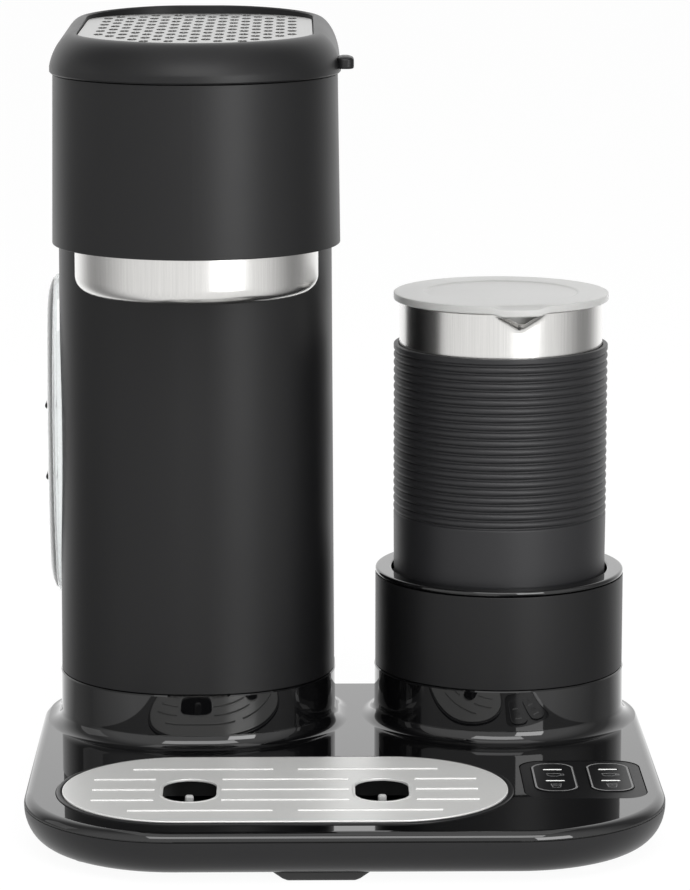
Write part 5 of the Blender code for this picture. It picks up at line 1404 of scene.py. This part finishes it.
def make_frother_stand():
    low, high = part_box("frother_sleeve")
    radius = half_width("frother_sleeve")
    profile = [(radius, low.z), (radius, high.z), (radius - WALL, high.z), (radius - WALL, low.z)]
    sleeve = turned_ring("frother_casing", FROTHER, profile, 0.0004)
    fit(sleeve, "spark_eroded_abs", "root", "frother_sleeve")

    low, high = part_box("frother_well")
    well = half_width("jug_sleeve") + WELL_CLEARANCE
    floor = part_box("heating_plate")[0].z - FIT_GAP
    rim_bottom = high.z - RIM_THICKNESS
    profile = [
        (well - 0.010, low.z),
        (well + WELL_WALL, low.z),
        (well + WELL_WALL, rim_bottom),
        (radius, rim_bottom),
        (radius, high.z),
        (well, high.z),
        (well, floor),
        (well - 0.010, floor),
    ]
    body = shape("polished_frother_well", turned(FROTHER, softened(profile, 0.0011)))
    fit(body, "polished_abs", "root", "frother_well")

    low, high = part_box("heating_plate")
    radius = half_width("heating_plate")
    profile = [(radius - 0.004, low.z), (radius, low.z), (radius, high.z), (radius - 0.004, high.z)]
    profile += [(radius - 0.006, high.z - 0.0002), (radius - 0.010, high.z - 0.0002)]
    plate = shape("heating_plate_disc", turned(FROTHER, softened(profile, 0.0004)))
    fit(plate, "turned_steel", "root", "heating_plate")


# Jug ----------------------------------------------------------------------------------------


def ease(share):
    """A smooth step from 0 to 1."""
    share = min(max(share, 0.0), 1.0)
    return share * share * (3 - 2 * share)


def off_spout(point):
    """The angle in degrees between the point and the middle of the spout, round the jug's axis."""
    turn = math.degrees(math.atan2(point.y - FROTHER.y, point.x - FROTHER.x))
    return abs((turn + 90.0 - SPOUT_TURN + 180.0) % 360.0 - 180.0)


def rim_dip(point):
    """How far the jug's rim, and the lid's rim above it, bend down over the spout."""
    return RIM_DIP * ease((RIM_DIP_EDGE - off_spout(point)) / (RIM_DIP_EDGE - RIM_DIP_FLAT))


def jug_loop(radius, z):
    """A circle that swells into a pouring spout near the jug's top, where its lip dips."""
    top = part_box("jug_body")[1].z
    rise = min(max((z - (top - SPOUT_DROP)) / SPOUT_DROP, 0.0), 1.0)
    points = circle(FROTHER, radius, z, JUG_SIDES)
    for point in points:
        off = off_spout(point)
        reach = 1.0 + SPOUT_REACH / radius * ease(rise - off / SPOUT_SPREAD)
        dip = rim_dip(point) + LIP_DIP * ease(1.0 - off / LIP_EDGE)
        point.x = FROTHER.x + (point.x - FROTHER.x) * reach
        point.y = FROTHER.y + (point.y - FROTHER.y) * reach
        point.z -= dip * rise ** 2
    return points


def make_jug():
    low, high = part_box("jug_body")
    radius = half_width("jug_sleeve") - SLEEVE_THICKNESS
    inner = radius - JUG_WALL
    spout_foot = high.z - SPOUT_DROP
    rows = SPOUT_ROWS
    outer_side = [(radius - 0.010, low.z)]
    for inwards, upwards in reversed(list(arc(JUG_FOOT_ROUNDING, 6))):
        outer_side.append((radius - inwards, low.z + JUG_FOOT_ROUNDING - upwards))
    outer_side += [(radius, spout_foot + SPOUT_DROP * row / rows) for row in range(rows)]
    outer_side += [(radius, high.z - 0.0003), (radius - 0.0002, high.z)]
    inner_side = [(inner + 0.0002, high.z), (inner, high.z - 0.0003)]
    inner_side += [(inner, high.z - SPOUT_DROP * row / rows) for row in range(1, rows + 1)]
    floor = low.z + JUG_FLOOR
    for inwards, upwards in arc(JUG_FOOT_ROUNDING, 6):
        inner_side.append((inner - inwards, floor + JUG_FOOT_ROUNDING - upwards))
    inner_side.append((inner - 0.010, floor))
    jug = shape("steel_jug", [jug_loop(reach, z) for reach, z in outer_side + inner_side])
    post = [(0.0018, floor - 0.0006), (0.0018, floor + 0.0095), (0.0013, floor + 0.0100)]
    join(jug, turned(FROTHER, post, SMALL_SIDES))
    fit(jug, "steel_brushed_upright", "jug", "jug_body", sharp=50.0)


def make_sleeve():
    look = sizes()
    low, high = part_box("jug_sleeve")
    radius = half_width("jug_sleeve")
    groove = radius - SLEEVE_GROOVE
    lip_bottom = high.z - SLEEVE_LIP_HEIGHT
    rib_foot = SLEEVE_RIB_START - look.sleeve_rib_spacing / 2
    profile = [
        (radius - 0.0004, low.z),
        (radius - 0.0001, rib_foot - 0.0006),
        (groove, rib_foot),
        (groove, lip_bottom),
        (radius, lip_bottom + 0.0002),
        (radius, high.z),
        (radius - 0.0022, high.z),
        (radius - 0.0022, low.z),
    ]
    sleeve = turned_ring("silicone_sleeve", FROTHER, profile, 0.0005, JUG_SIDES)
    fit(sleeve, "black_silicone", "jug", "jug_sleeve")
    points = []
    for rib in range(look.sleeve_ribs):
        points.append((FROTHER.x, FROTHER.y, SLEEVE_RIB_START + rib * look.sleeve_rib_spacing))
    ribs = guide("silicone_sleeve_ribs", points)
    values = {
        "Ring Radius": radius - look.sleeve_rib_radius,
        "Rib Radius": look.sleeve_rib_radius,
        "Sides": JUG_SIDES,
        "Finish": material("black_silicone"),
    }
    run_tree(ribs, ring_rib_tree(), values)
    fit(ribs, "black_silicone", "jug")


def make_jug_lid():
    """A disc with a skirt inside the jug, a shallow recess on top, and a rim bent down at the spout."""
    low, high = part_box("jug_lid")
    rim = half_width("jug_lid")
    bottom = low.z + JUG_LID_SKIRT_HEIGHT
    profile = [
        (JUG_LID_SKIRT_RADIUS - 0.0100, bottom + 0.0004),
        (JUG_LID_SKIRT_RADIUS - 0.0018, bottom + 0.0004),
        (JUG_LID_SKIRT_RADIUS - 0.0018, low.z),
        (JUG_LID_SKIRT_RADIUS, low.z),
        (JUG_LID_SKIRT_RADIUS, bottom),
        (JUG_LID_BEND_RADIUS, bottom),
        (rim, bottom),
        (rim, high.z),
        (JUG_LID_BEND_RADIUS, high.z),
        (JUG_LID_RECESS_RADIUS + 0.0010, high.z),
        (JUG_LID_RECESS_RADIUS, high.z - JUG_LID_RECESS),
        (JUG_LID_RECESS_RADIUS - 0.0100, high.z - JUG_LID_RECESS),
    ]
    loops = turned(FROTHER, softened(profile, 0.0008), JUG_SIDES)
    for point in (point for loop in loops for point in loop):
        radius = math.hypot(point.x - FROTHER.x, point.y - FROTHER.y)
        share = ease((radius - JUG_LID_SKIRT_RADIUS - 0.0005) / (rim - JUG_LID_SKIRT_RADIUS - 0.0025))
        point.z -= rim_dip(point) * share
    lid = shape("frosted_jug_lid", loops)
    fit(lid, "frosted_copolyester", "jug_lid", "jug_lid")

    low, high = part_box("jug_lid_seal")
    outer = half_width("jug_lid_seal")
    middle = (low.z + high.z) / 2
    profile = [(outer, middle), (outer - 0.0005, high.z), (JUG_LID_SKIRT_RADIUS + FIT_GAP, high.z)]
    profile += [(JUG_LID_SKIRT_RADIUS + FIT_GAP, low.z), (outer - 0.0005, low.z)]
    seal = turned_ring("jug_lid_seal_ring", FROTHER, profile, 0.0004, JUG_SIDES)
    fit(seal, "white_silicone", "jug_lid", "jug_lid_seal")


def make_whisk():
    low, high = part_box("whisk")
    middle = (low.z + high.z) / 2
    radius = half_width("whisk") - WHISK_WIRE_RADIUS
    hub = [(WHISK_HUB_RADIUS, low.z), (WHISK_HUB_RADIUS, high.z), (WHISK_BORE_RADIUS, high.z)]
    hub += [(WHISK_BORE_RADIUS, low.z)]
    whisk = turned_ring("whisk_wire", FROTHER, hub, 0.0006, 48)
    ring = []
    for step in range(16):
        angle = 2 * math.pi * step / 16
        reach = radius + WHISK_WIRE_RADIUS * math.cos(angle)
        ring.append(circle(FROTHER, reach, middle + WHISK_WIRE_RADIUS * math.sin(angle), 96))
    join(whisk, ring, closed=True)
    axis = Vector((FROTHER.x, FROTHER.y, middle))
    for spoke in range(3):
        angle = 2 * math.pi * spoke / 3 + 0.13
        reach = Vector((math.cos(angle), math.sin(angle), 0.0))
        join(whisk, rod(axis + reach * 0.0034, axis + reach * radius, WHISK_WIRE_RADIUS * 0.7, 16))
    fit(whisk, "turned_steel", "whisk", "whisk")


# Pieces that keep the frame's own shape -------------------------------------------------------

INNER_FINISHES = {
    "tower_frame": "satin_abs",
    "water_pump": "satin_abs",
    "flow_heater": "cast_aluminium",
    "inlet_hose": "white_silicone",
    "riser_tube": "white_silicone",
    "control_board": "solder_mask",
    "power_board": "solder_mask",
    "switch_coffee": "satin_abs",
    "switch_milk": "satin_abs",
    "motor_bracket": "satin_abs",
    "frother_motor": "turned_steel",
    "drive_magnet": "sintered_ferrite",
}


def finish_inner_pieces():
    for node, finish in INNER_FINISHES.items():
        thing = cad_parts[node]
        if thing.material_slots:
            thing.material_slots[0].material = material(finish)
        else:
            thing.data.materials.append(material(finish))


# Studio -------------------------------------------------------------------------------------


def make_camera():
    lens = bpy.data.cameras.new("studio_camera")
    lens.lens = CAMERA_LENS
    lens.clip_end = 50.0
    camera = bpy.data.objects.new("studio_camera", lens)
    camera.location = CAMERA_PLACE
    camera.rotation_euler = [math.radians(angle) for angle in CAMERA_TURN]
    bpy.context.scene.collection.objects.link(camera)
    bpy.context.scene.camera = camera


def make_lamp(name, place, aim, width, height, power):
    light = bpy.data.lights.new(name, "AREA")
    light.shape = "RECTANGLE"
    light.size = width
    light.size_y = height
    light.energy = power
    lamp = bpy.data.objects.new(name, light)
    lamp.location = place
    lamp.rotation_euler = (Vector(aim) - Vector(place)).to_track_quat("-Z", "Y").to_euler()
    bpy.context.scene.collection.objects.link(lamp)


def studio_level(tree, direction):
    """How bright the white studio looks in gloss: white in front and behind, dim at the sides, where
    dark screens stand."""
    ahead = add_node(tree, "ShaderNodeVectorMath", {0: direction}, operation="NORMALIZE").outputs[0]
    depth = add_node(tree, "ShaderNodeSeparateXYZ", {"Vector": ahead}).outputs["Y"]
    place = add_node(tree, "ShaderNodeMapRange", {"Value": depth, "From Min": -1.0, "From Max": 1.0})
    ramp = add_node(tree, "ShaderNodeValToRGB", {"Fac": place.outputs[0]})
    stops = ramp.color_ramp.elements
    stops[0].position, stops[1].position = SCREEN_LEVELS[0][0], SCREEN_LEVELS[-1][0]
    for share, _ in SCREEN_LEVELS[1:-1]:
        stops.new(share)
    for stop, (_, level) in zip(stops, SCREEN_LEVELS):
        stop.color = (level, level, level, 1.0)
    return ramp.outputs[0]


def make_world():
    """White to the camera, the studio's white and dark screens to gloss, and a plain level of light
    to everything else."""
    world = bpy.data.worlds.new("studio")
    world.use_nodes = True
    tree = world.node_tree
    tree.nodes.clear()
    path = add_node(tree, "ShaderNodeLightPath").outputs
    direction = add_node(tree, "ShaderNodeTexCoord").outputs["Generated"]
    level = studio_level(tree, direction)
    seen = add_node(tree, "ShaderNodeBackground", {"Color": WHITE, "Strength": 1.0}).outputs[0]
    mirrored = add_node(tree, "ShaderNodeBackground", {"Color": level, "Strength": GLOSS_LEVEL}).outputs[0]
    soft = add_node(tree, "ShaderNodeBackground", {"Color": WHITE, "Strength": WORLD_LEVEL}).outputs[0]
    inner = add_node(tree, "ShaderNodeMixShader", {0: path["Is Glossy Ray"], 1: soft, 2: mirrored}).outputs[0]
    straight = either(tree, path["Is Camera Ray"], path["Is Transmission Ray"])
    outer = add_node(tree, "ShaderNodeMixShader", {0: straight, 1: inner, 2: seen}).outputs[0]
    add_node(tree, "ShaderNodeOutputWorld", {"Surface": outer})
    bpy.context.scene.world = world


def either(tree, first, second):
    return add_node(tree, "ShaderNodeMath", {0: first, 1: second}, operation="MAXIMUM").outputs[0]


def make_floor():
    """A floor that is white but for the object's soft shadow, and shows the studio in gloss."""
    half = FLOOR_SIZE / 2
    corners = [(-half, -half, 0.0), (half, -half, 0.0), (half, half, 0.0), (-half, half, 0.0)]
    mesh = bpy.data.meshes.new("studio_floor")
    mesh.from_pydata(corners, [], [(0, 1, 2, 3)])
    floor = bpy.data.objects.new("studio_floor", mesh)
    bpy.context.scene.collection.objects.link(floor)
    paper = bpy.data.materials.new("white_paper")
    paper.use_nodes = True
    tree = paper.node_tree
    tree.nodes.clear()
    path = add_node(tree, "ShaderNodeLightPath").outputs
    level = studio_level(tree, add_node(tree, "ShaderNodeTexCoord").outputs["Object"])
    glow = add_node(tree, "ShaderNodeEmission", {"Strength": FLOOR_WHITE}).outputs[0]
    mirrored = add_node(tree, "ShaderNodeEmission", {"Color": level, "Strength": GLOSS_LEVEL}).outputs[0]
    matte = add_node(tree, "ShaderNodeBsdfDiffuse", {"Color": (0.86, 0.86, 0.86, 1.0)}).outputs[0]
    straight = either(tree, path["Is Camera Ray"], path["Is Transmission Ray"])
    share = add_node(tree, "ShaderNodeMath", {0: straight, 1: FLOOR_GLOW}, operation="MULTIPLY").outputs[0]
    both = add_node(tree, "ShaderNodeMixShader", {0: share, 1: matte, 2: glow}).outputs[0]
    outer = add_node(tree, "ShaderNodeMixShader", {0: path["Is Glossy Ray"], 1: both, 2: mirrored}).outputs[0]
    add_node(tree, "ShaderNodeOutputMaterial", {"Surface": outer})
    mesh.materials.append(paper)


def make_studio():
    make_camera()
    make_world()
    make_floor()
    make_lamp("key_softbox", (0.80, -1.45, 0.46), (0.0, 0.0, 0.20), 0.75, 0.90, 13.0)
    make_lamp("left_fill", (-1.70, 0.20, 0.60), (0.0, 0.0, 0.15), 0.80, 1.00, 1.6)
    make_lamp("front_softbox", (0.0, -1.20, 1.30), (0.0, 0.0, 0.05), 1.20, 0.80, 12.0)
    make_lamp("top_softbox", (0.0, 0.10, 1.60), (0.0, 0.0, 0.20), 1.20, 1.20, 3.5)
    bpy.context.scene.view_settings.view_transform = "Standard"


# Operators and the panel that lists them ------------------------------------------------------


class MakeBase(bpy.types.Operator):
    """Makes the two base covers, the feet, the screws and the cord gland"""

    bl_idname = "coffee_machine.base"
    bl_label = "Base"

    def execute(self, context):
        make_lower_cover()
        make_top_cover()
        make_gland()
        for corner in ("front_left", "front_right", "rear_left", "rear_right"):
            make_round_foot(f"foot_{corner}")
        make_centre_foot()
        for number in range(1, 5):
            make_screw(f"base_screw_{number}")
        return {"FINISHED"}


class MakeControlPanel(bpy.types.Operator):
    """Makes the panel with its two buttons, their light pipes and their printed symbols"""

    bl_idname = "coffee_machine.control_panel"
    bl_label = "Control panel"

    def execute(self, context):
        make_panel()
        for drink in ("coffee", "milk"):
            make_button(drink)
        return {"FINISHED"}


class MakeDripTray(bpy.types.Operator):
    """Makes the drip tray with its posts"""

    bl_idname = "coffee_machine.drip_tray"
    bl_label = "Drip tray"

    def execute(self, context):
        make_tray()
        for side in ("left", "right"):
            make_post(f"cover_post_{side}")
        return {"FINISHED"}


class MakeTrayCover(bpy.types.Operator):
    """Makes the steel tray cover with its finger holes and pressed ribs"""

    bl_idname = "coffee_machine.tray_cover"
    bl_label = "Tray cover"

    def execute(self, context):
        make_tray_cover()
        return {"FINISHED"}


class MakeTower(bpy.types.Operator):
    """Makes the tower casing, its water window and the reservoir behind it"""

    bl_idname = "coffee_machine.tower"
    bl_label = "Tower"

    def execute(self, context):
        make_tower_casing()
        make_window()
        make_reservoir()
        return {"FINISHED"}


class MakeHead(bpy.types.Operator):
    """Makes the head casing, its floor, its deck and the hinge pin"""

    bl_idname = "coffee_machine.head"
    bl_label = "Head"

    def execute(self, context):
        make_head_casing()
        cup_hole = half_width("spout_cup") - CUP_FLANGE_WIDTH + FIT_GAP
        make_head_plate("head_floor", "head_floor_plate", WALL + FIT_GAP, cup_hole, FIT_GAP)
        deck_inset = WALL + HEAD_DRAFT + FIT_GAP
        make_head_plate("head_deck", "head_deck_plate", deck_inset, DECK_HOLE_RADIUS, FIT_GAP)
        make_hinge_pin()
        return {"FINISHED"}


class MakeBrewGroup(bpy.types.Operator):
    """Makes the steel spout cup, the funnel, the basket, the pod holder and the needles"""

    bl_idname = "coffee_machine.brew_group"
    bl_label = "Brew group"

    def execute(self, context):
        make_cup()
        make_chamber()
        make_basket()
        make_pod_holder()
        make_needle("exit_needle", "root", tip_up=True)
        make_needle("inlet_needle", "lid", tip_up=False)
        return {"FINISHED"}


class MakeLid(bpy.types.Operator):
    """Makes the lid, its perforated steel plate, its liner and the pod seal"""

    bl_idname = "coffee_machine.lid"
    bl_label = "Lid"

    def execute(self, context):
        make_lid()
        make_lid_plate()
        make_lid_liner()
        return {"FINISHED"}


class MakeFrotherStand(bpy.types.Operator):
    """Makes the frother's casing, its polished well and the heating plate"""

    bl_idname = "coffee_machine.frother_stand"
    bl_label = "Frother stand"

    def execute(self, context):
        make_frother_stand()
        return {"FINISHED"}


class MakeJug(bpy.types.Operator):
    """Makes the steel jug, its ribbed silicone sleeve, its lid and the whisk"""

    bl_idname = "coffee_machine.jug"
    bl_label = "Jug"

    def execute(self, context):
        make_jug()
        make_sleeve()
        make_jug_lid()
        make_whisk()
        return {"FINISHED"}


class FinishInnerPieces(bpy.types.Operator):
    """Gives the pump, heater, hoses, boards and drive their materials"""

    bl_idname = "coffee_machine.inner_pieces"
    bl_label = "Inner pieces"

    def execute(self, context):
        finish_inner_pieces()
        return {"FINISHED"}


class MakeStudio(bpy.types.Operator):
    """Makes the camera, the floor, the lamps and the white studio round the machine"""

    bl_idname = "coffee_machine.studio"
    bl_label = "Studio"

    def execute(self, context):
        make_studio()
        return {"FINISHED"}


OPERATORS = (
    MakeBase,
    MakeControlPanel,
    MakeDripTray,
    MakeTrayCover,
    MakeTower,
    MakeHead,
    MakeBrewGroup,
    MakeLid,
    MakeFrotherStand,
    MakeJug,
    FinishInnerPieces,
    MakeStudio,
)


class CoffeeMachinePanel(bpy.types.Panel):
    """Lists the machine's pieces, sizes and colours in the sidebar"""

    bl_idname = "VIEW3D_PT_coffee_machine"
    bl_label = "Coffee machine"
    bl_space_type = "VIEW_3D"
    bl_region_type = "UI"
    bl_category = "Coffee machine"

    def draw(self, context):
        column = self.layout.column()
        for operator in OPERATORS:
            column.operator(operator.bl_idname)
        for group in (context.scene.coffee_sizes, context.scene.coffee_colours):
            for name in group.__annotations__:
                column.prop(group, name)


CLASSES = (CoffeeMachineSizes, CoffeeMachineColours, *OPERATORS, CoffeeMachinePanel)


def register():
    for each in CLASSES:
        bpy.utils.register_class(each)
    bpy.types.Scene.coffee_sizes = bpy.props.PointerProperty(type=CoffeeMachineSizes)
    bpy.types.Scene.coffee_colours = bpy.props.PointerProperty(type=CoffeeMachineColours)


def unregister():
    del bpy.types.Scene.coffee_colours
    del bpy.types.Scene.coffee_sizes
    for each in reversed(CLASSES):
        bpy.utils.unregister_class(each)


def main():
    register()
    for operator in OPERATORS:
        group, name = operator.bl_idname.split(".")
        getattr(getattr(bpy.ops, group), name)()


if __name__ == "__main__":
    main()
